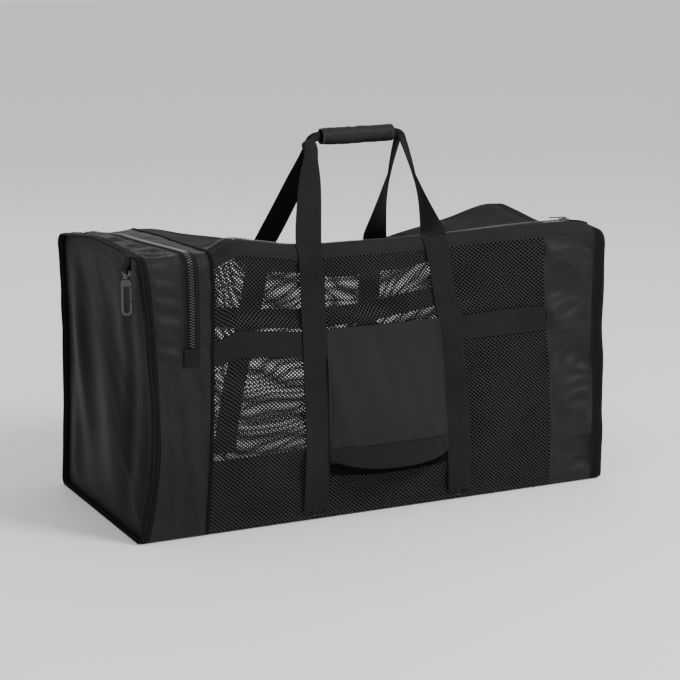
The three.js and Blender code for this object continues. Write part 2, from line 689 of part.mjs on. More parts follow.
function buildEndPocket() {
  const outerEdge = offsetLine(leftSeam, LEFT_FLANGE_WIDTH / 2);
  const innerEdge = offsetLine(pipingLine, -PIPING_WIDTH / 2 - SEAM_GAP);
  const zipFrom = END_ZIP_FROM;
  const zipTo = END_ZIP_TO;
  const tapeHalf = ZIP_TAPE_WIDTH / 2;
  piece(
    "gusset_lower",
    clothPanel({
      across: spread(outerEdge, innerEdge, 3),
      runs: ringPart(zipTo + SEAM_GAP - GIRTH, zipFrom - SEAM_GAP),
      thick: CLOTH,
    }),
    "nylon",
  );
  const upper = ringPart(zipFrom, zipTo);
  piece(
    "gusset_outer",
    clothPanel({
      across: spread(outerEdge, offsetLine(endZipLine, -tapeHalf - SEAM_GAP), 2),
      runs: upper,
      thick: CLOTH,
    }),
    "nylon",
  );
  piece(
    "gusset_inner",
    clothPanel({
      across: spread(offsetLine(endZipLine, tapeHalf + SEAM_GAP), innerEdge, 1),
      runs: upper,
      thick: CLOTH,
    }),
    "nylon",
  );
  const chainHalf = ZIP_CHAIN_WIDTH / 2;
  const chainAcross = spread(offsetLine(endZipLine, -chainHalf), offsetLine(endZipLine, chainHalf), 1);
  const tapeOffsets = [-tapeHalf, -chainHalf, chainHalf, tapeHalf];
  const tapeAcross = (run) => tapeOffsets.map((by) => endZipLine(run) + by);
  piece("end_zip_tape", clothPanel({ across: tapeAcross, runs: upper, thick: CLOTH }), "zip");
  const chainFrom = END_CHAIN_FROM;
  const chainTo = END_CHAIN_TO;
  const sliderSpace = SLIDER_LENGTH + 2 * SLIDER_PLAY;
  const onTape = (name, across, from, to, thick, finish) => {
    const runs = [from, ...upper.filter((run) => run > from + 2 && run < to - 2), to];
    const lift = () => LIFT_OVER_CLOTH + thick / 2;
    piece(name, clothPanel({ across, runs, thick, lift }), finish);
  };
  const teethFrom = chainFrom + SEAM_GAP;
  onTape("end_zip_chain", chainAcross, teethFrom, chainTo - sliderSpace, ZIP_CHAIN_THICKNESS, "zip");
  onTape("end_zip_tab_front", tapeAcross, zipFrom, chainFrom, ZIP_TAB_THICKNESS, "webbing");
  onTape("end_zip_tab_back", tapeAcross, chainTo, zipTo, ZIP_TAB_THICKNESS, "webbing");
  const seatRun = chainTo - sliderSpace / 2;
  const seat = skin(endZipLine(seatRun), seatRun, LIFT_OVER_CLOTH);
  buildSlider("end_zip", seat, seat.alongRun.clone());
}

// The lines and runs that the body's pieces share.
const BODY_LEFT = offsetLine(pipingLine, PIPING_WIDTH / 2 + 2 * SEAM_GAP);
const BODY_RIGHT = offsetLine(rightSeam, -RIGHT_FLANGE_WIDTH - SEAM_GAP);
const FLOOR_BACK = BACK_START + WALL_RUN + FLOOR_CORNER / 2 - GIRTH;
const FLOOR_FRONT = FRONT_START - FLOOR_CORNER / 2;
const BAND_FROM = FRONT_CREST - TOP_BAND_WIDTH;
const BAND_TO = FRONT_CREST + TOP_CORNER / 2;
const TAPE_FROM = BAND_TO + SEAM_GAP;
const TAPE_TO = TAPE_FROM + ZIP_TAPE_WIDTH;
const TAPE_MIDDLE = (TAPE_FROM + TAPE_TO) / 2;
const CHAIN_ROWS = [TAPE_MIDDLE - ZIP_CHAIN_WIDTH / 2, TAPE_MIDDLE + ZIP_CHAIN_WIDTH / 2];
const TAPE_ROWS = [TAPE_FROM, ...CHAIN_ROWS, TAPE_TO];
const BACK_BAND_FROM = BACK_CREST - BACK_BAND_WIDTH / 2;
const BACK_BAND_TO = BACK_CREST + BACK_BAND_WIDTH / 2;

// The middle line of a carry strap at a run: the front and back lines meet under the floor and over the top.
function strapLine(side, run) {
  const { y, z } = section(run);
  const up = z / BAG_HEIGHT;
  const front = lookup(FRONT_STRAP_LINE, "up", up, side);
  const back = lookup(BACK_STRAP_LINE, "up", up, side);
  return STRAP_SPACING * mix(front, back, ease(y / BAG_DEPTH + 0.5));
}
const strapEdge = (side, by) => (run) => strapLine(side, run) + (by * WEBBING_WIDTH) / 2;

// The x stations that every piece of the main body shares, so that layers lie facet on facet.
const bayColumns = (left, right) => Math.max(2, Math.round((right(0) - left(0)) / NET_GAP_PITCH));
const bay = (left, right) => spread(left, right, bayColumns(left, right));
const leftStrapAcross = spread(strapEdge("left", -1), strapEdge("left", 1), 1);
const rightStrapAcross = spread(strapEdge("right", -1), strapEdge("right", 1), 1);
const leftBay = bay(BODY_LEFT, strapEdge("left", -1));
const middleBay = bay(strapEdge("left", 1), strapEdge("right", -1));
const rightBay = bay(strapEdge("right", 1), offsetLine(rightBandLine, -SEAM_GAP));
const netAcross = [leftStrapAcross, middleBay, rightStrapAcross, rightBay].reduce(sideBySide, leftBay);
const bandAcross = spread(rightBandLine, BODY_RIGHT, 3);
const bodyAcross = sideBySide(netAcross, bandAcross);

// The rows of the two walls, with a stop at each edge of what lies on them.
const BELT_LOW = BELT_HEIGHT - BELT_WIDTH / 2;
const BELT_HIGH = BELT_HEIGHT + BELT_WIDTH / 2;
const CLIMB = 5 * WEBBING_THICKNESS;
const HEM_BOTTOM = PATCH_BOTTOM - HEM_HEIGHT;
const BELT_MARKS = [BELT_LOW - CLIMB, BELT_LOW, BELT_HIGH, BELT_HIGH + CLIMB];
const FRONT_MARKS = [...BELT_MARKS, STRAP_START_HEIGHT, HEM_BOTTOM, PATCH_BOTTOM, PATCH_TOP];
const FRONT_NET_FROM = FLOOR_FRONT + SEAM_GAP;
const FRONT_ROWS = stops(FRONT_NET_FROM, BAND_FROM - SEAM_GAP, NET_GAP_PITCH, FRONT_MARKS.map(frontRun));
const BACK_MARKS = [...BELT_MARKS, STRAP_START_HEIGHT].map(backRun);
const BACK_ROWS = stops(BACK_BAND_TO + SEAM_GAP, FLOOR_BACK + GIRTH - SEAM_GAP, NET_GAP_PITCH, BACK_MARKS);
const FRONT_BAND_ROWS = stops(BAND_FROM, BAND_TO, EDGE_BAND_STEP, [FRONT_CREST]);
const BACK_BAND_ROWS = stops(BACK_BAND_FROM, BACK_BAND_TO, EDGE_BAND_STEP, [BACK_CREST]);

function buildBody() {
  piece(
    "body_piping",
    clothPanel({
      across: spread(offsetLine(pipingLine, -PIPING_WIDTH / 2), offsetLine(pipingLine, PIPING_WIDTH / 2), 1),
      runs: RING_ROWS,
      thick: PIPING_THICKNESS,
      lift: (x, run) => pipingLift(run),
      ring: true,
    }),
    "binding",
  );
  const bodyPiece = (name, across, runs, thick, finish, open) =>
    piece(name, clothPanel({ across, runs, thick, open }), finish);
  const floorAcross = spread(BODY_LEFT, BODY_RIGHT, 4);
  bodyPiece("bottom_panel", floorAcross, stops(FLOOR_BACK, FLOOR_FRONT, BAG_DEPTH), CLOTH, "nylon");

  const bays = [leftBay, leftStrapAcross, middleBay, rightStrapAcross, rightBay];
  const bayOf = bays.flatMap((across, n) => across(0).slice(1).map(() => n));
  const gaps = (rows, hidden) => (i, j) => {
    const run = (rows[j] + rows[j + 1]) / 2;
    const height = section(run).z;
    const tooShort = rows[j + 1] - rows[j] < NET_GAP_PITCH / 2;
    const tooLow = height < STRAP_START_HEIGHT + NET_GAP_PITCH;
    const tooHigh = height > BAG_HEIGHT - TOP_BAND_WIDTH;
    const onBelt = height > BELT_LOW - CLIMB && height < BELT_HIGH + CLIMB;
    if (tooShort || tooLow || tooHigh || onBelt || (i + j) % 2) return false;
    return bayOf[i] % 2 === 0 && !hidden(bayOf[i], height);
  };
  const behindPatch = (n, height) => n === 2 && height < PATCH_TOP;
  const nothing = () => false;
  bodyPiece("front_mesh", netAcross, FRONT_ROWS, NET, "net", gaps(FRONT_ROWS, behindPatch));
  bodyPiece("back_mesh", netAcross, BACK_ROWS, NET, "net", gaps(BACK_ROWS, nothing));
  bodyPiece("right_band_front", bandAcross, FRONT_ROWS, CLOTH, "nylon");
  bodyPiece("right_band_back", bandAcross, BACK_ROWS, CLOTH, "nylon");
  bodyPiece("top_front_band", bodyAcross, FRONT_BAND_ROWS, CLOTH, "webbing");
  bodyPiece("top_zip_tape", bodyAcross, TAPE_ROWS, CLOTH, "zip");
  const topRuns = stops(TAPE_TO + SEAM_GAP, BACK_BAND_FROM - SEAM_GAP, TOP_PANEL_STEP);
  bodyPiece("top_panel", bodyAcross, topRuns, CLOTH, "nylon");
  bodyPiece("back_top_band", bodyAcross, BACK_BAND_ROWS, CLOTH, "webbing");
}

// The x stations of the body that lie between two places, with the places themselves at the ends.
const clipped = (from, to) => (run) => {
  const inside = bodyAcross(run).filter((x) => x > from(run) + 2 && x < to(run) - 2);
  return [from(run), ...inside, to(run)];
};

// The zip along the top: its chain, the slider at the right end and the tab that ends it.
function buildTopZip() {
  const zipEnd = BODY_RIGHT(TAPE_MIDDLE) - ZIP_TAB_LENGTH;
  const chainEnd = zipEnd - SLIDER_LENGTH - 2 * SLIDER_PLAY;
  const zipPiece = (name, from, to, runs, thick, finish) => {
    const lift = () => LIFT_OVER_CLOTH + thick / 2;
    piece(name, clothPanel({ across: clipped(from, to), runs, thick, lift }), finish);
  };
  zipPiece("top_zip_chain", BODY_LEFT, () => chainEnd, CHAIN_ROWS, ZIP_CHAIN_THICKNESS, "zip");
  zipPiece("top_zip_tab", () => zipEnd + SEAM_GAP, BODY_RIGHT, TAPE_ROWS, ZIP_TAB_THICKNESS, "webbing");
  const seat = skin(chainEnd + SLIDER_PLAY + SLIDER_LENGTH / 2, TAPE_MIDDLE, LIFT_OVER_CLOTH);
  buildSlider("top_zip", seat, seat.alongX.clone().negate());
}

// A zip slider on the tape with its pull lying along the zip, hinged on the slider's bridge.
function buildSlider(name, seat, ahead) {
  const high = seat.outward.clone();
  const wide = new THREE.Vector3().crossVectors(high, ahead).normalize();
  const frame = new THREE.Matrix4().makeBasis(ahead, wide, high).setPosition(seat.point);
  const slider = new THREE.Group();
  slider.applyMatrix4(frame);
  bag.add(slider);

  const half = SLIDER_LENGTH / 2;
  const narrow = SLIDER_WIDTH * 0.64;
  const body = new THREE.Shape();
  body.moveTo(-half, -narrow / 2);
  body.quadraticCurveTo(0, -narrow / 2, half, -SLIDER_WIDTH / 2);
  body.lineTo(half, SLIDER_WIDTH / 2);
  body.quadraticCurveTo(0, narrow / 2, -half, narrow / 2);
  body.closePath();
  const base = plate(body, SLIDER_BODY_HEIGHT, 0);
  base.translate(0, 0, SLIDER_BODY_HEIGHT / 2);
  const neckHalf = PULL_NECK_WIDTH / 2;
  const earTop = PULL_AXIS_HEIGHT + EAR_REACH / 2;
  const ears = [-1, 1].map((way) => {
    const ear = new THREE.BoxGeometry(2 * EAR_REACH, EAR_WIDTH, earTop - SLIDER_BODY_HEIGHT + 1);
    const aside = way * (neckHalf + SEAM_GAP + EAR_WIDTH / 2);
    return solidOf(ear.translate(0, aside, (earTop + SLIDER_BODY_HEIGHT - 1) / 2));
  });
  const whole = ears.reduce((sum, ear) => sum.add(ear), solidOf(base));
  piece(`${name}_slider`, geometryOf(whole), "steel", slider);

  const tip = PULL_WIDTH * 0.35;
  const shoulder = EAR_REACH + 1;
  const tag = new THREE.Shape();
  tag.moveTo(-PULL_THICKNESS / 2, neckHalf);
  tag.lineTo(-PULL_THICKNESS / 2, -neckHalf);
  tag.lineTo(shoulder, -neckHalf);
  tag.lineTo(shoulder + 1, -PULL_WIDTH / 2);
  tag.absarc(PULL_LENGTH - tip, 0, tip, -Math.PI / 2, Math.PI / 2);
  tag.lineTo(shoulder + 1, PULL_WIDTH / 2);
  tag.lineTo(shoulder, neckHalf);
  tag.closePath();
  const hole = new THREE.Path();
  hole.absarc(PULL_LENGTH - tip, 0, tip * 0.5, 0, 2 * Math.PI, true);
  tag.holes.push(hole);
  const pull = plate(tag, PULL_THICKNESS, 0);
  pull.translate(0, 0, PULL_AXIS_HEIGHT);
  piece(`${name}_pull`, pull, "steel", slider);
}

// The belt webbing that runs along each wall under the straps.
function buildBelts() {
  const lift = LIFT_OVER_CLOTH + BELT_THICKNESS / 2;
  const belt = (runAt, rows) => {
    const edges = [runAt(BELT_LOW), runAt(BELT_HIGH)].sort((a, b) => a - b);
    const runs = rows.filter((run) => run > edges[0] - 1 && run < edges[1] + 1);
    return clothPanel({ across: netAcross, runs, thick: BELT_THICKNESS, lift: () => lift });
  };
  piece("belt_front", belt(frontRun, FRONT_ROWS), "webbing");
  piece("belt_back", belt(backRun, BACK_ROWS), "webbing");
}

// How far the straps stand off the cloth: they climb over the belt where they cross it.
function strapLift(run) {
  const away = (Math.abs(section(run).z - BELT_HEIGHT) - BELT_WIDTH / 2) / CLIMB;
  return LIFT_OVER_CLOTH + WEBBING_THICKNESS / 2 + (BELT_THICKNESS + SEAM_GAP) * (1 - ease(away));
}

const GRIP_MIDDLE = new THREE.Vector3(GRIP_SHIFT, 0, CLOTH / 2 + BAG_HEIGHT + HANDLE_RISE);

// One stretch of a carry strap on a wall, as sections from the floor seam to the edge of the top.
function wallStations(side, rows, facing) {
  return rows.map((run, i) => {
    const lift = strapLift(run);
    const halfThick = WEBBING_THICKNESS / 2;
    const corner = (by, out) => skin(strapEdge(side, by * facing)(run), run, lift + out * halfThick);
    const corners = [corner(-1, -1), corner(1, -1), corner(1, 1), corner(-1, 1)];
    const here = skin(strapLine(side, run), run, lift);
    const step = i ? run - rows[i - 1] : rows[1] - run;
    const next = skin(strapLine(side, run + step), run + step, lift);
    return {
      corners: corners.map((c) => c.point),
      point: here.point,
      ahead: next.point.sub(here.point).normalize(),
      side: corners[1].point.clone().sub(corners[0].point).normalize(),
    };
  });
}

// The free leg from the edge of the top to the end of the grip, on one smooth curve. The webbing narrows as
// it is folded into the grip, and its outer face turns from the bag's outside to the grip's side.
function legStations(start, gripEnd, along, facing) {
  const elbow = gripEnd.clone().setX(gripEnd.x - along * GRIP_MOUTH);
  const knee = elbow.clone().addScaledVector(elbow.clone().sub(start.point).normalize(), -GRIP_MOUTH);
  const first = start.point.clone().addScaledVector(start.ahead, LEG_LEAD);
  const second = start.point.clone().lerp(knee, 0.7);
  const rise = new THREE.CubicBezierCurve3(start.point, first, second, knee);
  const bend = new THREE.QuadraticBezierCurve3(knee, elbow, gripEnd);
  const outward = new THREE.Vector3().crossVectors(start.side, start.ahead).multiplyScalar(along);
  const sideways = new THREE.Vector3(0, -facing, 0);
  const places = [
    ...[0.16, 0.36, 0.56, 0.74, 0.88, 1].map((share) => [rise, share, share * LEG_SHARE]),
    ...[0.35, 0.7, 1].map((share) => [bend, share, LEG_SHARE + share * (1 - LEG_SHARE)]),
  ];
  return places.map(([curve, share, up]) => {
    const ahead = curve.getTangent(share).normalize();
    const out = outward.clone().lerp(sideways, lookup(LEG_LINE, "up", up, "turn")).normalize();
    return {
      point: curve.getPoint(share),
      ahead: ahead.clone().multiplyScalar(along),
      side: new THREE.Vector3().crossVectors(ahead, out).multiplyScalar(along),
      width: WEBBING_WIDTH * lookup(LEG_LINE, "up", up, "width"),
      thick: WEBBING_THICKNESS * lookup(LEG_LINE, "up", up, "thick"),
    };
  });
}

// A whole carry strap: up one leg, through the grip beside the other strap, and down again.
// `facing` is 1 for the strap on the front wall and -1 for the one on the back wall.
function carryStrap(name, rows, facing) {
  const level = (-facing * (FOLDED_WEBBING_THICKNESS + SEAM_GAP)) / 2;
  const half = (side, along) => {
    const wall = wallStations(side, rows, facing * along);
    const fold = new THREE.Vector3(-along * (GRIP_LENGTH / 2 + 1), level, 0);
    const gripEnd = GRIP_MIDDLE.clone().add(fold);
    return [...wall, ...legStations(wall[wall.length - 1], gripEnd, along, facing)];
  };
  piece(name, ribbon([...half("left", 1), ...half("right", -1).reverse()]), "webbing");
}

function buildHandles() {
  const wallPart = (rows) => rows.filter((run) => section(run).z > STRAP_START_HEIGHT - 1);
  const frontRows = [...FRONT_ROWS, ...FRONT_BAND_ROWS].filter((run) => run < FRONT_CREST + 1);
  const backRows = [...BACK_BAND_ROWS, ...BACK_ROWS].filter((run) => run > BACK_CREST - 1);
  carryStrap("handle_front", wallPart(frontRows), 1);
  carryStrap("handle_back", wallPart(backRows).reverse(), -1);
  piece(
    "grip_wrap",
    ovalTube({
      points: [-1, -0.94, 0.94, 1].map((share) =>
        GRIP_MIDDLE.clone().add(new THREE.Vector3((share * GRIP_LENGTH) / 2, 0, 0)),
      ),
      side: new THREE.Vector3(0, 1, 0),
      halfWide: (FOLDED_WEBBING_THICKNESS + SEAM_GAP) * 1.9 + GRIP_WALL,
      halfTall: (FOLDED_WEBBING_WIDTH / 2 + SEAM_GAP) * 1.28 + GRIP_WALL,
      wall: GRIP_WALL,
      sides: 16,
    }),
    "grip",
  );
}

// The flat pocket on the front between the straps, open at the bottom, and its ribbed hem that bellies out.
function buildPatch() {
  const across = (run) => {
    const xs = middleBay(run);
    return [xs[0] + SEAM_GAP, ...xs.slice(1, -1), xs[xs.length - 1] - SEAM_GAP];
  };
  const seat = LIFT_OVER_CLOTH + BELT_THICKNESS + SEAM_GAP + CLOTH / 2;
  const depth = (x, run) => {
    const [from, to] = [strapEdge("left", 1)(run), strapEdge("right", -1)(run)];
    const free = 1 - Math.pow((2 * (x - from)) / (to - from) - 1, 4);
    const { z } = section(run);
    const sag = ease((PATCH_TOP - z) / (PATCH_TOP - PATCH_BOTTOM));
    const belly = ease((PATCH_BOTTOM - z) / HEM_HEIGHT);
    return seat + free * (PATCH_RISE * sag + HEM_RISE * belly);
  };
  const rows = (from, to) => {
    const inside = FRONT_ROWS.filter((run) => run > from + 2 && run < to - 2);
    return [from, ...inside, to];
  };
  const panelRows = rows(frontRun(PATCH_BOTTOM) + SEAM_GAP, frontRun(PATCH_TOP));
  const hemRows = rows(frontRun(HEM_BOTTOM), frontRun(PATCH_BOTTOM));
  const hemLift = (x, run) => depth(x, run) + (HEM_THICKNESS - CLOTH) / 2;
  piece("front_pocket", clothPanel({ across, runs: panelRows, thick: CLOTH, lift: depth }), "patch");
  const hem = clothPanel({ across, runs: hemRows, thick: HEM_THICKNESS, lift: hemLift });
  piece("front_pocket_hem", hem, "webbing");
}

// The swivel snap hook on the left end: a webbing loop on the flange, the eye that it holds, the headed pin
// that turns in the eye's collar, the hook under the pin and its sprung gate.
function buildHook() {
  const rim = skin(LEFT_END - LEFT_FLANGE_WIDTH / 2, topRun(HOOK_INSET), CLOTH / 2).point;
  const bore = EYE_BAR / 2 + 2 * SEAM_GAP + 0.5;
  const half = bore + LOOP_THICKNESS;
  const hang = new THREE.Group();
  hang.position.set(rim.x - SEAM_GAP - half, rim.y, rim.z - LOOP_DROP + half);
  bag.add(hang);

  const fold = new THREE.Shape();
  const top = LOOP_DROP - half;
  fold.moveTo(half, top);
  fold.lineTo(half - 2 * LOOP_THICKNESS, top);
  fold.lineTo(half - 2 * LOOP_THICKNESS, top / 2);
  fold.lineTo(-half, 0);
  fold.absarc(0, 0, half, Math.PI, 2 * Math.PI);
  fold.closePath();
  const hole = new THREE.Path();
  hole.absarc(0, 0, bore, 0, 2 * Math.PI, true);
  fold.holes.push(hole);
  const loop = plate(fold, LOOP_WIDTH, 0);
  loop.rotateX(Math.PI / 2);
  piece("hook_loop", loop, "webbing", hang);

  const slotHalf = LOOP_WIDTH / 2 + 2 * SEAM_GAP;
  const slotDrop = half + SEAM_GAP + PIN_HEAD_HEIGHT + 2 * GATE_GAP;
  const eyeHalf = slotHalf + EYE_BAR;
  const eyeOutline = new THREE.Shape();
  eyeOutline.moveTo(-eyeHalf, EYE_BAR / 2);
  eyeOutline.lineTo(-eyeHalf, -half - 2 * SEAM_GAP);
  eyeOutline.lineTo(-COLLAR_DIAMETER / 2, -slotDrop - EYE_BAR);
  eyeOutline.lineTo(COLLAR_DIAMETER / 2, -slotDrop - EYE_BAR);
  eyeOutline.lineTo(eyeHalf, -half - 2 * SEAM_GAP);
  eyeOutline.lineTo(eyeHalf, EYE_BAR / 2);
  eyeOutline.closePath();
  const slot = new THREE.Path();
  slot.moveTo(-slotHalf, -EYE_BAR / 2);
  slot.lineTo(slotHalf, -EYE_BAR / 2);
  slot.lineTo(slotHalf, -half - 2 * SEAM_GAP);
  slot.lineTo(PIN_HEAD_DIAMETER * 0.8, -slotDrop);
  slot.lineTo(-PIN_HEAD_DIAMETER * 0.8, -slotDrop);
  slot.lineTo(-slotHalf, -half - 2 * SEAM_GAP);
  slot.closePath();
  eyeOutline.holes.push(slot);
  const frame = plate(eyeOutline, EYE_BAR, 0);
  frame.rotateX(Math.PI / 2);
  frame.rotateZ(Math.PI / 2);
  const upright = (radius, low, high, sides) => {
    const cylinder = new THREE.CylinderGeometry(radius, radius, high - low, sides);
    cylinder.rotateX(Math.PI / 2);
    cylinder.translate(0, 0, (low + high) / 2);
    return cylinder;
  };
  const collarLow = -slotDrop - COLLAR_HEIGHT;
  const collar = solidOf(upright(COLLAR_DIAMETER / 2, collarLow, -slotDrop, 12));
  const pinHole = solidOf(upright(PIN_DIAMETER / 2 + GATE_GAP, collarLow - 1, -slotDrop + 1, 12));
  piece("hook_eye", geometryOf(solidOf(frame).add(collar).subtract(pinHole)), "hard", hang);

  const pinLow = collarLow - 2 * GATE_GAP;
  const pinTop = -slotDrop + GATE_GAP + PIN_HEAD_HEIGHT;
  const pinProfile = [
    [0, pinLow],
    [PIN_DIAMETER / 2, pinLow],
    [PIN_DIAMETER / 2, -slotDrop + GATE_GAP],
    [PIN_HEAD_DIAMETER / 2, -slotDrop + GATE_GAP],
    [PIN_HEAD_DIAMETER / 2, pinTop - 0.6],
    [PIN_HEAD_DIAMETER / 2 - 0.6, pinTop],
    [0, pinTop],
  ].map(([r, z]) => new THREE.Vector2(r, z));
  const pin = new THREE.LatheGeometry(pinProfile, 12);
  pin.rotateX(Math.PI / 2);
  piece("hook_pin", pin, "steel", hang);

  const swivel = new THREE.Group();
  swivel.position.z = pinLow - SEAM_GAP;
  swivel.rotation.z = THREE.MathUtils.degToRad(HOOK_TURN);
  hang.add(swivel);
  const side = HOOK_WIDTH / 2;
  const bend = -HOOK_LENGTH + side;
  const gateX = side - HOOK_WIRE / 2;
  const gateTop = -HOOK_HEAD - GATE_GAP - GATE_WIDTH / 2;
  const tip = gateTop - GATE_LENGTH + GATE_WIDTH / 2 - GATE_GAP;
  const outline = new THREE.Shape();
  outline.moveTo(-side, -3);
  outline.lineTo(-side, bend);
  outline.absarc(0, bend, side, Math.PI, 2 * Math.PI);
  outline.lineTo(side, tip);
  outline.lineTo(side - HOOK_WIRE, tip);
  outline.lineTo(side - HOOK_WIRE, bend);
  outline.absarc(0, bend, side - HOOK_WIRE, 2 * Math.PI, Math.PI, true);
  outline.lineTo(-side + HOOK_WIRE, -HOOK_HEAD);
  outline.lineTo(side, -HOOK_HEAD);
  outline.lineTo(side, -3);
  outline.lineTo(side - 3, 0);
  outline.lineTo(-side + 3, 0);
  outline.closePath();
  const hook = plate(outline, HOOK_THICKNESS, 0.6);
  hook.rotateX(Math.PI / 2);
  piece("hook_body", hook, "hard", swivel);

  const lever = new THREE.Shape();
  const low = gateTop - GATE_LENGTH + GATE_WIDTH;
  lever.absarc(gateX, gateTop, GATE_WIDTH / 2, 0, Math.PI);
  lever.absarc(gateX, low, GATE_WIDTH / 2, Math.PI, 2 * Math.PI);
  lever.closePath();
  const gate = plate(lever, GATE_THICKNESS, 0.4);
  gate.rotateX(Math.PI / 2);
  piece("hook_gate", gate, "steel", swivel);
}

buildBody();
buildEnds();
buildEndPocket();
buildTopZip();
buildBelts();
buildHandles();
buildPatch();
buildHook();

export default bag;
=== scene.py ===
"""Dresses the mesh dive gear bag: open net, creased nylon, ribbed webbing, zips, padded grip and hook.

Lengths are in millimetres while shapes are worked out, and become metres when a mesh is made. X runs along
the bag with the end pocket at minus X, the front wall is at minus Y and Z is up.
"""
from __future__ import annotations

import logging
import math
from dataclasses import dataclass
from enum import Enum
from typing import Callable, Sequence

import bpy
import numpy as np
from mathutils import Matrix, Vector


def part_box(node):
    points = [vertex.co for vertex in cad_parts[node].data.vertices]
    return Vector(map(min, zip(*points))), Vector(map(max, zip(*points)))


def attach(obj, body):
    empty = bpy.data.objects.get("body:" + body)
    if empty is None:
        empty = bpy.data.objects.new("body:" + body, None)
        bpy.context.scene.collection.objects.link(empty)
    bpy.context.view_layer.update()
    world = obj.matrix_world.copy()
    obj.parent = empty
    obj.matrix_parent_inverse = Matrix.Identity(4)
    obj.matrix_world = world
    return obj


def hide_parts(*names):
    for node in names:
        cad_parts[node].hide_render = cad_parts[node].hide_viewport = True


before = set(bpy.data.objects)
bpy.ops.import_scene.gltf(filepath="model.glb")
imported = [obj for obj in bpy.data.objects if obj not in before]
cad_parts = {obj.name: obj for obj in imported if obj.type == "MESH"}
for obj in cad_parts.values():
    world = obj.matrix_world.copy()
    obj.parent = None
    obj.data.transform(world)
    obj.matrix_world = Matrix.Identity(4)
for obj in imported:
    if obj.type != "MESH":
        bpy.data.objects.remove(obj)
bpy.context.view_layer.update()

log = logging.getLogger("bag")
Array = np.ndarray
Line = Callable[[Array], Array]
Relief = Callable[[Array, Array], Array]
MILLI = 0.001


class Wall(Enum):
    """The two long walls of the bag."""

    FRONT = -1
    BACK = 1


class Weave(Enum):
    """How the threads of a cloth show."""

    PLAIN = "plain"
    RIBBED = "ribbed"
    SMOOTH = "smooth"


class Edge(Enum):
    """Which edges of a cloth panel its seams follow."""

    LONG_X = "x"
    LONG_RUN = "run"


def columns(names: str, rows: Sequence[Sequence[float]]) -> dict[str, Array]:
    """Turns the rows of a table into named columns.

    Args:
        names: The column names, apart by spaces.
        rows: The numbers, one row for each place.

    Returns:
        One array for each name.
    """
    return dict(zip(names.split(), np.array(rows, dtype=float).T))


TOP_LINE = columns("along front middle back", [
    (0.0, 1.0, 1.01, 0.975),
    (0.09, 1.0, 1.0, 0.965),
    (0.15, 1.0, 0.985, 0.97),
    (0.19, 1.035, 0.975, 0.965),
    (0.25, 1.022, 0.93, 0.94),
    (0.33, 1.002, 0.87, 0.915),
    (0.43, 1.002, 0.82, 0.878),
    (0.56, 1.002, 0.805, 0.86),
    (0.67, 1.005, 0.825, 0.85),
    (0.76, 1.008, 0.875, 0.882),
    (0.86, 1.008, 0.92, 0.92),
    (0.95, 1.0, 0.935, 0.965),
    (1.0, 0.965, 0.93, 0.965),
])
WALL_LINE = columns("up front back waist", [
    (0.0, 0.0, 0.03, 0.0),
    (0.12, 0.012, 0.03, 0.5),
    (0.3, 0.02, 0.014, 0.95),
    (0.5, 0.012, 0.0, 1.0),
    (0.64, 0.0, -0.006, 0.95),
    (0.85, -0.006, 0.0, 0.7),
    (1.0, -0.012, 0.0, 0.4),
])
WALL_FOLDS = columns("side along up wide tall lean depth", [
    (-1, 0.235, 0.8, 0.05, 0.12, 0.3, -0.02),
    (-1, 0.27, 0.3, 0.06, 0.16, -0.4, 0.02),
    (-1, 0.66, 0.84, 0.05, 0.1, 0.6, -0.018),
    (-1, 0.76, 0.36, 0.07, 0.2, 0.5, 0.022),
    (-1, 0.79, 0.75, 0.06, 0.1, -0.4, -0.014),
    (-1, 0.94, 0.55, 0.04, 0.22, 0.2, -0.018),
    (1, 0.3, 0.45, 0.1, 0.2, 0.3, -0.03),
    (1, 0.55, 0.55, 0.1, 0.25, -0.3, -0.035),
    (1, 0.8, 0.4, 0.08, 0.22, 0.3, -0.025),
])
END_FOLDS = columns("across up wide tall lean depth", [
    (-0.62, 0.5, 0.12, 0.4, -0.06, -0.9),
    (-0.3, 0.72, 0.18, 0.2, 0.3, -0.5),
    (0.55, 0.6, 0.16, 0.3, 0.5, 1.3),
    (0.75, 0.25, 0.14, 0.25, -0.2, 0.9),
    (-0.1, 0.2, 0.3, 0.2, 0.1, 0.6),
])
FRONT_STRAP_LINE = columns("up left right", [
    (0.0, -0.482, 0.523),
    (0.28, -0.482, 0.49),
    (0.68, -0.485, 0.436),
    (1.0, -0.5, 0.335),
])
BACK_STRAP_LINE = columns("up left right", [
    (0.0, -0.482, 0.523),
    (0.4, -0.4, 0.55),
    (0.7, -0.3, 0.58),
    (1.0, -0.205, 0.615),
])
FOLDED_WIDTH_SHARE = 14 / 38
LEG_LINE = columns("up width thick turn", [
    (0.0, 1.0, 1.0, 0.0),
    (0.3, 1.0, 1.0, 0.08),
    (0.6, 0.88, 1.0, 0.4),
    (0.8, 0.52, 1.6, 0.9),
    (0.9, FOLDED_WIDTH_SHARE, 2.0, 1.0),
    (1.0, FOLDED_WIDTH_SHARE, 2.0, 1.0),
])
RIGHT_TWIST = columns("up turns", [
    (0.0, 0.0),
    (0.12, 0.13),
    (0.25, 0.21),
    (0.57, 0.335),
    (0.75, 0.4),
    (0.9, 0.47),
    (1.0, 0.5),
])


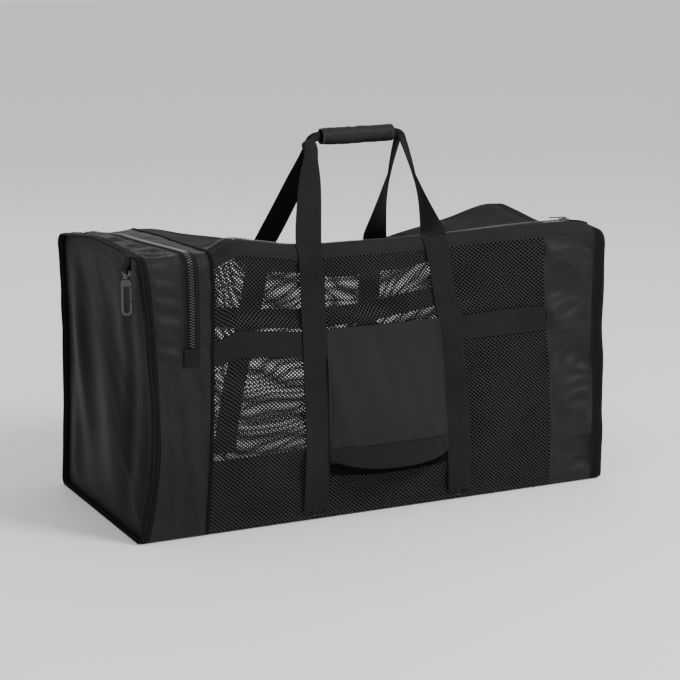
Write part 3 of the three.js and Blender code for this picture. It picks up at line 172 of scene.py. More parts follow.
def read(table: dict[str, Array], key: str, place: Array, column: str) -> Array:
    """Reads a column of a table between its rows.

    The curve is a cubic between neighbouring rows whose slope at a row is the rise between the rows on
    either side of it over their distance.

    Args:
        table: The table's columns.
        key: The column that holds the places.
        place: Where to read.
        column: The column to read.

    Returns:
        The values, in the shape of `place`.
    """
    keys, values = table[key], table[column]
    padded_keys = np.concatenate([keys[:1], keys, keys[-1:]])
    padded_values = np.concatenate([values[:1], values, values[-1:]])
    slopes = (padded_values[2:] - padded_values[:-2]) / (padded_keys[2:] - padded_keys[:-2])
    at = np.clip(place, keys[0], keys[-1])
    i = np.clip(np.searchsorted(keys, at, side="right") - 1, 0, len(keys) - 2)
    width = keys[i + 1] - keys[i]
    s = (at - keys[i]) / width
    s2, s3 = s * s, s * s * s
    return (values[i] * (2 * s3 - 3 * s2 + 1) + slopes[i] * width * (s3 - 2 * s2 + s)
            + values[i + 1] * (3 * s2 - 2 * s3) + slopes[i + 1] * width * (s3 - s2))


def mix(a: Array | float, b: Array | float, share: Array | float) -> Array:
    """Gives the value a share of the way from a to b."""
    return a + (b - a) * share


def ease(share: Array) -> Array:
    """Rises smoothly from 0 to 1 as the share does."""
    t = np.clip(share, 0.0, 1.0)
    return t * t * (3 - 2 * t)


def hump(distance: Array) -> Array:
    """Gives a bell of height 1 and half width about 1."""
    return np.exp(-distance * distance)


def unit(vectors: Array) -> Array:
    """Scales vectors in the last axis to length 1."""
    return vectors / np.maximum(np.linalg.norm(vectors, axis=-1, keepdims=True), 1e-9)


def ripple(a: Array, b: Array, size: float, seed: int, waves: int = 7) -> Array:
    """Gives soft uneven waves over two coordinates.

    The height is a sum of sines, each with its own direction, phase and wave length near `size`.

    Args:
        a: The first coordinate, in millimetres.
        b: The second coordinate, in millimetres.
        size: The middle wave length, in millimetres.
        seed: Picks the waves.
        waves: How many waves are added.

    Returns:
        Heights that mostly lie between minus 1 and 1.
    """
    rng = np.random.default_rng(seed)
    height = np.zeros(np.broadcast(a, b).shape)
    for _ in range(waves):
        angle = rng.uniform(0, math.pi)
        pitch = size * rng.uniform(0.6, 1.7)
        shift = rng.uniform(0, 2 * math.pi)
        height += np.sin((a * math.cos(angle) + b * math.sin(angle)) * 2 * math.pi / pitch + shift)
    return height / math.sqrt(waves)


def loop_profile(count: int, wide_power: float, tall_power: float) -> tuple[Array, Array]:
    """Gives a flat loop with round edges, as shares of half its width and half its thickness.

    The width is a circle's cosine and the height its sine, each with its size raised to a power under 1,
    which squares the circle off.

    Args:
        count: How many points go round.
        wide_power: The cosine's power.
        tall_power: The sine's power.

    Returns:
        The places across and the heights.
    """
    turn = np.linspace(0, 2 * math.pi, count, endpoint=False)
    return (np.sign(np.cos(turn)) * np.abs(np.cos(turn)) ** wide_power,
            np.sign(np.sin(turn)) * np.abs(np.sin(turn)) ** tall_power)


def loop_quads(rows: int, around: int, closed: bool = False) -> Array:
    """Gives the faces between neighbouring loops of points.

    Args:
        rows: How many loops there are.
        around: How many points each has.
        closed: Whether the last loop joins the first.

    Returns:
        Four point numbers for each face.
    """
    index = np.arange(rows * around).reshape(rows, around)
    if closed:
        index = np.vstack([index, index[:1]])
    index = np.hstack([index, index[:, :1]])
    return np.stack([index[:-1, :-1], index[1:, :-1], index[1:, 1:], index[:-1, 1:]], -1).reshape(-1, 4)


def distances(path: Array) -> Array:
    """Gives how far along a path each of its points lies."""
    return np.concatenate([[0], np.cumsum(np.linalg.norm(np.diff(path, axis=0), axis=1))])


def loop_caps(rows: int, around: int) -> list[list[int]]:
    """Gives the two faces that close a tube at its first loop and at its last one."""
    first = list(range(around))
    last = [corner + (rows - 1) * around for corner in first]
    return [first, last[::-1]]


@dataclass(frozen=True)
class BagBody:
    """The soft body of the bag, as a surface over x and the run round its section."""

    length: float = 742.0
    depth: float = 326.0
    height: float = 396.0
    top_radius: float = 20.0
    floor_radius: float = 10.0
    cloth: float = 1.5
    end_waist: float = 20.0
    seam_gap: float = 0.3

    @property
    def left_end(self) -> float:
        """The x of the left end seam."""
        return -self.length / 2

    @property
    def right_end(self) -> float:
        """The x of the right end seam."""
        return self.length / 2

    @property
    def floor_run(self) -> float:
        """The run from the middle of the floor to its rounded front edge."""
        return self.depth / 2 - self.floor_radius

    @property
    def front_start(self) -> float:
        """The run where the front wall starts."""
        return self.floor_run + math.pi / 2 * self.floor_radius

    @property
    def wall_run(self) -> float:
        """The straight height of a wall."""
        return self.height - self.floor_radius - self.top_radius

    @property
    def top_corner(self) -> float:
        """The run round a top edge."""
        return math.pi / 2 * self.top_radius

    @property
    def top_start(self) -> float:
        """The run where the top starts."""
        return self.front_start + self.wall_run + self.top_corner

    @property
    def top_run(self) -> float:
        """The straight depth of the top."""
        return self.depth - 2 * self.top_radius

    @property
    def back_start(self) -> float:
        """The run where the back wall starts."""
        return self.top_start + self.top_run + self.top_corner

    @property
    def girth(self) -> float:
        """The whole run round the section."""
        return self.back_start + self.wall_run + math.pi / 2 * self.floor_radius + self.floor_run

    @property
    def front_crest(self) -> float:
        """The run of the front top edge."""
        return self.front_start + self.wall_run + self.top_corner / 2

    @property
    def back_crest(self) -> float:
        """The run of the back top edge."""
        return self.top_start + self.top_run + self.top_corner / 2

    def front_at(self, height: float) -> float:
        """The run of a height on the front wall."""
        return self.front_start + height - self.floor_radius

    def back_at(self, height: float) -> float:
        """The run of a height on the back wall."""
        return self.back_start + self.height - self.top_radius - height

    def section(self, run: Array) -> tuple[Array, Array]:
        """Gives the plain section, a rounded rectangle that stands on the floor.

        Each stretch is a straight line or a quarter circle, picked by the run.

        Args:
            run: Runs along the section from the middle of the floor over the front, top and back.

        Returns:
            The y and z of each run.
        """
        s = np.mod(run, self.girth)
        half, low, high = self.depth / 2, self.floor_radius, self.top_radius

        def arc(start: float, radius: float, y: float, z: float, turn: float) -> tuple[Array, Array]:
            """Goes round a corner from the angle `turn`, clockwise."""
            angle = turn - (s - start) / radius
            return y + radius * np.cos(angle), z + radius * np.sin(angle)

        front_top = self.front_start + self.wall_run
        back_top = self.top_start + self.top_run
        back_low = self.back_start + self.wall_run
        zero = np.zeros_like(s)
        parts = [
            (s < self.floor_run, (-s, zero)),
            (s < self.front_start, arc(self.floor_run, low, -half + low, low, -math.pi / 2)),
            (s < front_top, (zero - half, low + s - self.front_start)),
            (s < self.top_start, arc(front_top, high, -half + high, self.height - high, math.pi)),
            (s < back_top, (-half + high + s - self.top_start, zero + self.height)),
            (s < self.back_start, arc(back_top, high, half - high, self.height - high, math.pi / 2)),
            (s < back_low, (zero + half, self.height - high - (s - self.back_start))),
            (s < self.girth - self.floor_run, arc(back_low, low, half - low, low, 0.0)),
        ]
        picks = [test for test, _ in parts]
        return (np.select(picks, [place[0] for _, place in parts], self.girth - s),
                np.select(picks, [place[1] for _, place in parts], zero))

    def up(self, run: Array) -> Array:
        """The share of the height reached at a run."""
        return self.section(run)[1] / self.height

    def soften(self, x: Array, run: Array) -> Array:
        """Shapes the plain box into the soft bag.

        The top follows the top line, the walls move out by the wall line and the folds, and the ends are
        drawn in by the waist.

        Args:
            x: Places along the bag.
            run: Runs round the section, in a shape that goes with x.

        Returns:
            Points, with x, y and z in the last axis.
        """
        x, run = np.broadcast_arrays(np.asarray(x, float), np.asarray(run, float))
        y, z = self.section(run)
        along = np.clip((x - self.left_end) / self.length, 0, 1)
        up = z / self.height
        back = np.clip(y / self.depth + 0.5, 0, 1)
        front_top, middle_top, back_top = (read(TOP_LINE, "along", along, key)
                                           for key in ("front", "middle", "back"))
        top = np.where(back < 0.5, mix(front_top, middle_top, ease(back * 2)),
                       mix(middle_top, back_top, ease(back * 2 - 1)))
        side = np.where(y < 0, -1.0, 1.0)
        out = np.where(side < 0, read(WALL_LINE, "up", up, "front"), read(WALL_LINE, "up", up, "back"))
        for place, a, b, wide, tall, lean, depth in zip(*WALL_FOLDS.values()):
            rise = (up - b) / tall
            reach = (along - a) / wide - lean * rise
            out = out + np.where(side == place, depth * hump(reach) * hump(rise) * np.minimum(1, up / 0.1), 0)
        end_share = np.abs(2 * along - 1) ** 6
        waist = self.end_waist * read(WALL_LINE, "up", up, "waist") * end_share * mix(1, 0.2, back)
        wall_share = (np.abs(y) / (self.depth / 2)) ** 3
        return np.stack([
            x + np.where(along < 0.5, waist, -0.25 * waist),
            y + side * out * self.depth * wall_share,
            self.cloth / 2 + z * top,
        ], axis=-1)

    def axes(self, x: Array, run: Array) -> tuple[Array, Array, Array]:
        """Gives the directions along x, along the run and outwards, from places 1 mm to each side."""
        along_x = unit(self.soften(x + 1.0, run) - self.soften(x - 1.0, run))
        along_run = unit(self.soften(x, run + 1.0) - self.soften(x, run - 1.0))
        return along_x, along_run, unit(np.cross(along_x, along_run))

    def skin(self, x: Array, run: Array, out: Array | float = 0.0) -> Array:
        """Gives points on the soft body, moved outwards from it by `out`."""
        x, run, out = np.broadcast_arrays(*(np.asarray(part, float) for part in (x, run, out)))
        return self.soften(x, run) + self.axes(x, run)[2] * out[..., None]


BODY = BagBody()
FLANGE_LEFT, FLANGE_RIGHT, FLANGE_THICK = 15.0, 22.0, 3.0
PIPING_WIDE, PIPING_THICK = 5.0, 3.5
ZIP_TAPE, ZIP_CHAIN_THICK, ZIP_TAB, ZIP_TAB_THICK = 26.0, 2.4, 24.0, 2.0
SLIDER_LENGTH, SLIDER_PLAY = 14.0, 1.0
WEBBING_WIDE, WEBBING_THICK = 38.0, 2.0
BELT_WIDE, BELT_THICK, BELT_HEIGHT = 36.0, 1.6, 258.0
STRAP_SPACING, STRAP_START = 234.0, 14.0
OVER_CLOTH = BODY.cloth / 2 + BODY.seam_gap
PATCH_TOP, PATCH_BOTTOM, PATCH_RISE = 276.0, 106.0, 12.0
HEM_TALL, HEM_THICK, HEM_RISE = 34.0, 2.4, 8.0
GRIP_LENGTH, GRIP_SHIFT, GRIP_RISE, GRIP_WALL, GRIP_MOUTH = 118.0, 33.0, 130.0, 3.0, 12.0
FOLDED_WEBBING, FOLDED_TALL = 4.3, 7.3
END_POCKET, RIGHT_BAND, BAND_REACH = 100.0, 76.0, 15.0
END_ZIP_HEIGHT, ZIP_FROM_PIPING, ZIP_DRIFT = 244.0, 34.0, 30.0
TUCK, BACK_LEG_BOW, HOOK_WEBBING_THICK = 1.0, 12.0, 2.0


def piping_line(run: Array) -> Array:
    """The x of the piped seam between the end pocket and the body."""
    return BODY.left_end + END_POCKET + mix(-8, 6, ease(BODY.up(run)))


def right_band_line(run: Array) -> Array:
    """The x of the seam between the net and the nylon band at the right."""
    return BODY.right_end - FLANGE_RIGHT - RIGHT_BAND + mix(4, -12, ease(BODY.up(run)))


def end_zip_line(run: Array) -> Array:
    """The x of the end pocket's zip, which drifts to the end over the top."""
    over_top = ease((run - BODY.front_crest) / (BODY.top_start + BODY.depth * 0.55 - BODY.top_radius
                                                - BODY.front_crest))
    down = ease((run - BODY.back_crest) / (BODY.back_start - BODY.back_crest + BODY.top_radius))
    return piping_line(run) - ZIP_FROM_PIPING - ZIP_DRIFT * over_top * (1 - down)


def strap_line(side: str, run: Array) -> Array:
    """The x of the middle of the left or right carry strap."""
    y, z = BODY.section(run)
    front = read(FRONT_STRAP_LINE, "up", z / BODY.height, side)
    back = read(BACK_STRAP_LINE, "up", z / BODY.height, side)
    return STRAP_SPACING * mix(front, back, ease(y / BODY.depth + 0.5))


def beside(line: Line, by: float) -> Line:
    """Gives a line at a fixed distance along x from another."""
    return lambda run: line(run) + by


def straight(x: float) -> Line:
    """Gives a line at one x."""
    return lambda run: np.zeros_like(np.asarray(run, float)) + x


def strap_edge(side: str, by: float) -> Line:
    """The edge of a carry strap, by is minus 1 or 1."""
    return lambda run: strap_line(side, run) + by * WEBBING_WIDE / 2


BODY_LEFT = beside(piping_line, PIPING_WIDE / 2 - TUCK)
BODY_RIGHT = straight(BODY.right_end - FLANGE_RIGHT + TUCK)
FLOOR_CORNER = math.pi / 2 * BODY.floor_radius
FLOOR_BACK = BODY.back_start + BODY.wall_run + FLOOR_CORNER / 2 - BODY.girth
FLOOR_FRONT = BODY.front_start - FLOOR_CORNER / 2
BAND_FROM = BODY.front_crest - BAND_REACH
BAND_TO = BODY.front_crest + BODY.top_corner / 2
TAPE_FROM = BAND_TO
TAPE_TO = TAPE_FROM + BODY.seam_gap + ZIP_TAPE
TAPE_MIDDLE = TAPE_TO - ZIP_TAPE / 2
BACK_BAND_FROM = BODY.back_crest - BAND_REACH
BACK_BAND_TO = BODY.back_crest + BAND_REACH
END_ZIP_FROM = BODY.front_at(END_ZIP_HEIGHT)
END_ZIP_TO = BODY.back_at(END_ZIP_HEIGHT)
END_CHAIN_FROM = END_ZIP_FROM + ZIP_TAB
END_CHAIN_TO = END_ZIP_TO - ZIP_TAB
ZIP_END = BODY.right_end - FLANGE_RIGHT - BODY.seam_gap - ZIP_TAB
TOP_CHAIN_END = ZIP_END - SLIDER_LENGTH - 2 * SLIDER_PLAY


def join_math(tree: bpy.types.NodeTree, operation: str, *values: object) -> bpy.types.NodeSocket:
    """Adds a math node.

    Args:
        tree: The node tree.
        operation: The kind of sum.
        values: Numbers or sockets for its inputs.

    Returns:
        Its output socket.
    """
    node = tree.nodes.new("ShaderNodeMath")
    node.operation = operation
    for socket, value in zip(node.inputs, values):
        if isinstance(value, bpy.types.NodeSocket):
            tree.links.new(value, socket)
        else:
            socket.default_value = float(value)
    return node.outputs[0]


class EffectGroup:
    """A shader node group with named inputs and outputs, built once and placed in many materials."""

    def __init__(self, name: str, inputs: dict[str, object], outputs: Sequence[str]) -> None:
        """Makes the group's sockets.

        Args:
            name: The group's name.
            inputs: The default of each input; None makes a vector input.
            outputs: The names of the outputs.
        """
        self.tree = bpy.data.node_groups.new(name, "ShaderNodeTree")
        for key, value in inputs.items():
            kind = "NodeSocketVector" if value is None else "NodeSocketFloat"
            socket = self.tree.interface.new_socket(name=key, in_out="INPUT", socket_type=kind)
            if value is not None:
                socket.default_value = value
        for key in outputs:
            self.tree.interface.new_socket(name=key, in_out="OUTPUT", socket_type="NodeSocketFloat")
        self.entry = self.tree.nodes.new("NodeGroupInput")
        self.exit = self.tree.nodes.new("NodeGroupOutput")

    def math(self, operation: str, *values: object) -> bpy.types.NodeSocket:
        """Adds a math node inside the group."""
        return join_math(self.tree, operation, *values)

    def given(self, name: str) -> bpy.types.NodeSocket:
        """Gives the socket of an input inside the group."""
        return self.entry.outputs[name]

    def give(self, name: str, socket: bpy.types.NodeSocket) -> None:
        """Joins a socket to an output of the group."""
        self.tree.links.new(socket, self.exit.inputs[name])

    def split(self) -> list[bpy.types.NodeSocket]:
        """Splits the input Vector into its parts."""
        node = self.tree.nodes.new("ShaderNodeSeparateXYZ")
        self.tree.links.new(self.given("Vector"), node.inputs[0])
        return list(node.outputs)

    def noise(self, scale: object, detail: float) -> bpy.types.NodeSocket:
        """Adds a noise texture on the input Vector."""
        node = self.tree.nodes.new("ShaderNodeTexNoise")
        node.inputs["Detail"].default_value = detail
        self.tree.links.new(self.given("Vector"), node.inputs["Vector"])
        if isinstance(scale, bpy.types.NodeSocket):
            self.tree.links.new(scale, node.inputs["Scale"])
        else:
            node.inputs["Scale"].default_value = scale
        return node.outputs["Fac"]


class Effects:
    """The node groups that the finishes share."""

    def __init__(self) -> None:
        """Builds every group."""
        self.weave = self.plain_weave()
        self.ribs = self.webbing_ribs()
        self.wear = self.soft_wear()
        self.stitches = self.stitch_row()

    @staticmethod
    def plain_weave() -> bpy.types.NodeTree:
        """Threads over and under: the height is the product of a sine along each thread direction."""
        group = EffectGroup("thread weave", {"Vector": None, "Pitch": 0.001}, ["Height"])
        along, across, _ = group.split()
        turn = group.math("DIVIDE", 2 * math.pi, group.given("Pitch"))
        warp = group.math("SINE", group.math("MULTIPLY", along, turn))
        weft = group.math("SINE", group.math("MULTIPLY", across, turn))
        group.give("Height", group.math("MULTIPLY_ADD", group.math("MULTIPLY", warp, weft), 0.5, 0.5))
        return group.tree

    @staticmethod
    def webbing_ribs() -> bpy.types.NodeTree:
        """Ribs across a webbing: the height is the size of a sine along it, with finer cords across."""
        group = EffectGroup("webbing ribs", {"Vector": None, "Pitch": 0.002}, ["Height"])
        across, along, _ = group.split()
        turn = group.math("DIVIDE", math.pi, group.given("Pitch"))
        rib = group.math("ABSOLUTE", group.math("SINE", group.math("MULTIPLY", along, turn)))
        cord = group.math("ABSOLUTE", group.math("SINE", group.math("MULTIPLY", across, turn)))
        group.give("Height", group.math("MULTIPLY_ADD", cord, 0.35, group.math("MULTIPLY", rib, 0.65)))
        return group.tree

    @staticmethod
    def soft_wear() -> bpy.types.NodeTree:
        """Broad clouds and fine dust: two noises, one large and one small."""
        group = EffectGroup("soft wear", {"Vector": None, "Cloud": 9.0, "Dust": 260.0}, ["Clouds", "Specks"])
        group.give("Clouds", group.noise(group.given("Cloud"), 4.0))
        dust = group.noise(group.given("Dust"), 2.0)
        group.give("Specks", group.math("MULTIPLY", group.math("GREATER_THAN", dust, 0.66), dust))
        return group.tree

    @staticmethod
    def stitch_row() -> bpy.types.NodeTree:
        """A row of stitches at a distance from the edge: a narrow band times the dashes along it."""
        group = EffectGroup(
            "stitch row", {"Vector": None, "Inset": 0.004, "Length": 0.0035, "Thread": 0.0006},
            ["Mask", "Dip"])
        inset, along, _ = group.split()
        away = group.math("ABSOLUTE", group.math("SUBTRACT", inset, group.given("Inset")))
        near = group.math("LESS_THAN", away, group.given("Thread"))
        place = group.math("FRACT", group.math("DIVIDE", along, group.given("Length")))
        dash = group.math("LESS_THAN", place, 0.68)
        group.give("Mask", group.math("MULTIPLY", near, dash))
        dip = group.math("DIVIDE", away, group.math("MULTIPLY", group.given("Thread"), 3.0))
        group.give("Dip", group.math("MINIMUM", dip, 1.0))
        return group.tree


@dataclass(frozen=True)
class Finish:
    """A cloth, plastic or metal finish, with its colours in linear light."""

    name: str
    colour: tuple[float, float, float]
    worn: tuple[float, float, float]
    roughness: float = 0.6
    gloss: float = 0.4
    metal: float = 0.0
    weave: Weave = Weave.SMOOTH
    pitch: float = 0.0012
    depth: float = 0.00012
    crease: float = 0.0
    crease_scale: float = 40.0
    stitch_inset: float = 0.0
    stitch_colour: tuple[float, float, float] = (0.018, 0.018, 0.019)
    stitch_dip: float = 0.0004
    stitch_rise: float = 0.0005
    # How dark the low parts of the weave are painted: a painted shade in the hollows between threads.
    thread_hollow_shade: float = 0.55

    def build(self, effects: Effects, mapped: bool = True) -> bpy.types.Material:
        """Makes the material.

        The colour goes from plain to worn with the clouds and is darkened in the weave's low parts, a painted
        shade in the hollows between the threads; the weave and the creases make the bump, and a stitch row
        paints and presses its thread along the seams.

        Args:
            effects: The shared node groups.
            mapped: Whether the piece has its own cloth and seam maps.

        Returns:
            The material.
        """
        material = bpy.data.materials.new(self.name)
        material.use_nodes = True
        tree = material.node_tree
        tree.nodes.clear()
        out = tree.nodes.new("ShaderNodeOutputMaterial")
        shader = tree.nodes.new("ShaderNodeBsdfPrincipled")
        tree.links.new(shader.outputs[0], out.inputs[0])
        shader.inputs["Metallic"].default_value = self.metal
        shader.inputs["Specular IOR Level"].default_value = self.gloss
        where = tree.nodes.new("ShaderNodeTexCoord").outputs["Object"]

        def place(group: bpy.types.NodeTree, vector: bpy.types.NodeSocket, **values: float) -> bpy.types.Node:
            """Places a node group with its own values."""
            node = tree.nodes.new("ShaderNodeGroup")
            node.node_tree = group
            tree.links.new(vector, node.inputs["Vector"])
            for key, value in values.items():
                node.inputs[key].default_value = value
            return node

        def own_map(name: str) -> bpy.types.NodeSocket:
            """Reads one of the piece's own maps."""
            node = tree.nodes.new("ShaderNodeUVMap")
            node.uv_map = name
            return node.outputs[0]

        def lay_over(above: tuple[float, float, float], factor: bpy.types.NodeSocket, below: object,
                     mode: str = "MIX") -> bpy.types.NodeSocket:
            """Lays a plain colour over a colour or a socket by a factor."""
            node = tree.nodes.new("ShaderNodeMix")
            node.data_type = "RGBA"
            node.blend_type = mode
            node.inputs["B"].default_value = (*above, 1)
            tree.links.new(factor, node.inputs["Factor"])
            if isinstance(below, bpy.types.NodeSocket):
                tree.links.new(below, node.inputs["A"])
            else:
                node.inputs["A"].default_value = (*below, 1)
            return node.outputs["Result"]

        wear = place(effects.wear, where)
        clouds = join_math(tree, "SMOOTH_MIN",
                           join_math(tree, "MULTIPLY_ADD", wear.outputs["Clouds"], 2.4, -0.7),
                           1.0, 0.1)
        worn = join_math(tree, "ADD", clouds, wear.outputs["Specks"])
        colour = lay_over(self.worn, worn, self.colour)
        rough = join_math(tree, "MULTIPLY_ADD", wear.outputs["Clouds"], 0.16, self.roughness - 0.08)
        tree.links.new(rough, shader.inputs["Roughness"])
        height: object = 0.0
        if self.weave is not Weave.SMOOTH:
            group = effects.weave if self.weave is Weave.PLAIN else effects.ribs
            threads = place(group, own_map("cloth") if mapped else where, Pitch=self.pitch)
            height = join_math(tree, "MULTIPLY", threads.outputs["Height"], self.depth)
            # The weave's low parts are darkened in colour: a painted shade in the hollows between the
            # threads.
            low = join_math(tree, "MULTIPLY_ADD", threads.outputs["Height"], -0.8, 0.8)
            colour = lay_over((self.thread_hollow_shade,) * 3, low, colour, "MULTIPLY")
        if self.crease:
            creases = place(effects.wear, where, Cloud=self.crease_scale)
            height = join_math(tree, "MULTIPLY_ADD", creases.outputs["Clouds"], self.crease, height)
        if self.stitch_inset and mapped:
            row = place(effects.stitches, own_map("seam"), Inset=self.stitch_inset)
            colour = lay_over(self.stitch_colour, row.outputs["Mask"], colour)
            height = join_math(tree, "MULTIPLY_ADD", row.outputs["Dip"], self.stitch_dip, height)
            height = join_math(tree, "MULTIPLY_ADD", row.outputs["Mask"], self.stitch_rise, height)
        tree.links.new(colour, shader.inputs["Base Color"])
        if isinstance(height, bpy.types.NodeSocket):
            bump = tree.nodes.new("ShaderNodeBump")
            bump.inputs["Distance"].default_value = 1.0
            bump.inputs["Strength"].default_value = 1.0
            tree.links.new(height, bump.inputs["Height"])
            tree.links.new(bump.outputs[0], shader.inputs["Normal"])
        return material


def grey(level: float, blue: float = 0.0) -> tuple[float, float, float]:
    """Gives a linear grey with a touch of blue."""
    return (level, level * (1 + blue * 0.4), level * (1 + blue))


class Finishes:
    """Every material of the bag, by name."""

    def __init__(self, effects: Effects) -> None:
        """Builds the materials."""
        plain, ribbed = Weave.PLAIN, Weave.RIBBED
        fine = {"weave": plain, "pitch": 0.0011, "depth": 0.00006}
        listed = [
            Finish("nylon", grey(0.0075, 0.03), grey(0.014, 0.05), 0.56, 0.17, **fine, crease=0.0009,
                   crease_scale=26.0, stitch_inset=0.004),
            # A much darker copy of the nylon: a painted shade for the end walls.
            Finish("end_nylon_shaded", grey(0.0012, -0.03), grey(0.0032, 0.0), 0.48, 0.07, **fine, crease=0.0009,
                   crease_scale=20.0, stitch_inset=0.017),
            Finish("gusset_nylon", grey(0.014, 0.03), grey(0.024, 0.05), 0.54, 0.1, **fine, crease=0.0009,
                   crease_scale=30.0, stitch_inset=0.004),
            # A darker copy of the nylon with little gloss: its darkness is a painted shade for the bag's
            # inside floor seen through the net.
            Finish("floor_nylon_shaded", grey(0.003), grey(0.005), 0.7, 0.04, **fine),
            Finish("top_nylon", grey(0.012, 0.03), grey(0.016, 0.05), 0.7, 0.05, **fine, crease=0.0006,
                   crease_scale=26.0, stitch_inset=0.004),
            Finish("net", grey(0.012), grey(0.018, 0.04), 0.5, 0.24),
            Finish("webbing", grey(0.0112), grey(0.018, 0.04), 0.8, 0.06, weave=ribbed, pitch=0.0024,
                   depth=0.0004, stitch_inset=0.003),
            Finish("ribbed_band", grey(0.013), grey(0.019, 0.05), 0.76, 0.08, weave=ribbed, pitch=0.002,
                   depth=0.0002, stitch_inset=0.003),
            # A near-black thin sheet: a painted shade that stands for the shadow in the front pocket's mouth,
            # under its hem.
            Finish("shade_sheet", grey(0.003), grey(0.005), 0.8, 0.04, weave=plain, pitch=0.0008, depth=0.00005),
            Finish("hem", grey(0.0125), grey(0.019, 0.05), 0.76, 0.08, weave=ribbed, pitch=0.0032,
                   depth=0.0013, stitch_inset=0.003),
            Finish("binding", grey(0.006), grey(0.009, 0.04), 0.8, 0.06, weave=ribbed, pitch=0.0014,
                   depth=0.00012, stitch_inset=0.0035),
            Finish("zip_tape", grey(0.009), grey(0.014, 0.04), 0.76, 0.08, weave=plain, pitch=0.0016,
                   depth=0.00016, stitch_inset=0.003),
            Finish("zip_teeth", grey(0.05), grey(0.07, 0.04), 0.4, 0.4),
            Finish("metal", grey(0.2), grey(0.12), 0.34, 0.5, metal=1.0),
            Finish("hook", grey(0.028), grey(0.04), 0.28, 0.6),
            Finish("grip", grey(0.017, 0.08), grey(0.022, 0.12), 0.56, 0.1, weave=plain, pitch=0.001,
                   depth=0.00005, crease=0.0005, crease_scale=60.0),
            Finish("patch", grey(0.018, 0.04), grey(0.021, 0.06), 0.7, 0.1, weave=plain, pitch=0.0011,
                   depth=0.00008, crease=0.0003, crease_scale=20.0, stitch_inset=0.004),
        ]
        self.mapped = {finish.name: finish.build(effects) for finish in listed}
        self.plain = {finish.name: finish.build(effects, mapped=False) for finish in listed
                      if finish.name in ("metal", "hook")}

    def wear_on_node(self, node: str, finish: str) -> None:
        """Gives a CAD node that stays in view a finish."""
        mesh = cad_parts[node].data
        mesh.materials.clear()
        mesh.materials.append(self.plain[finish])


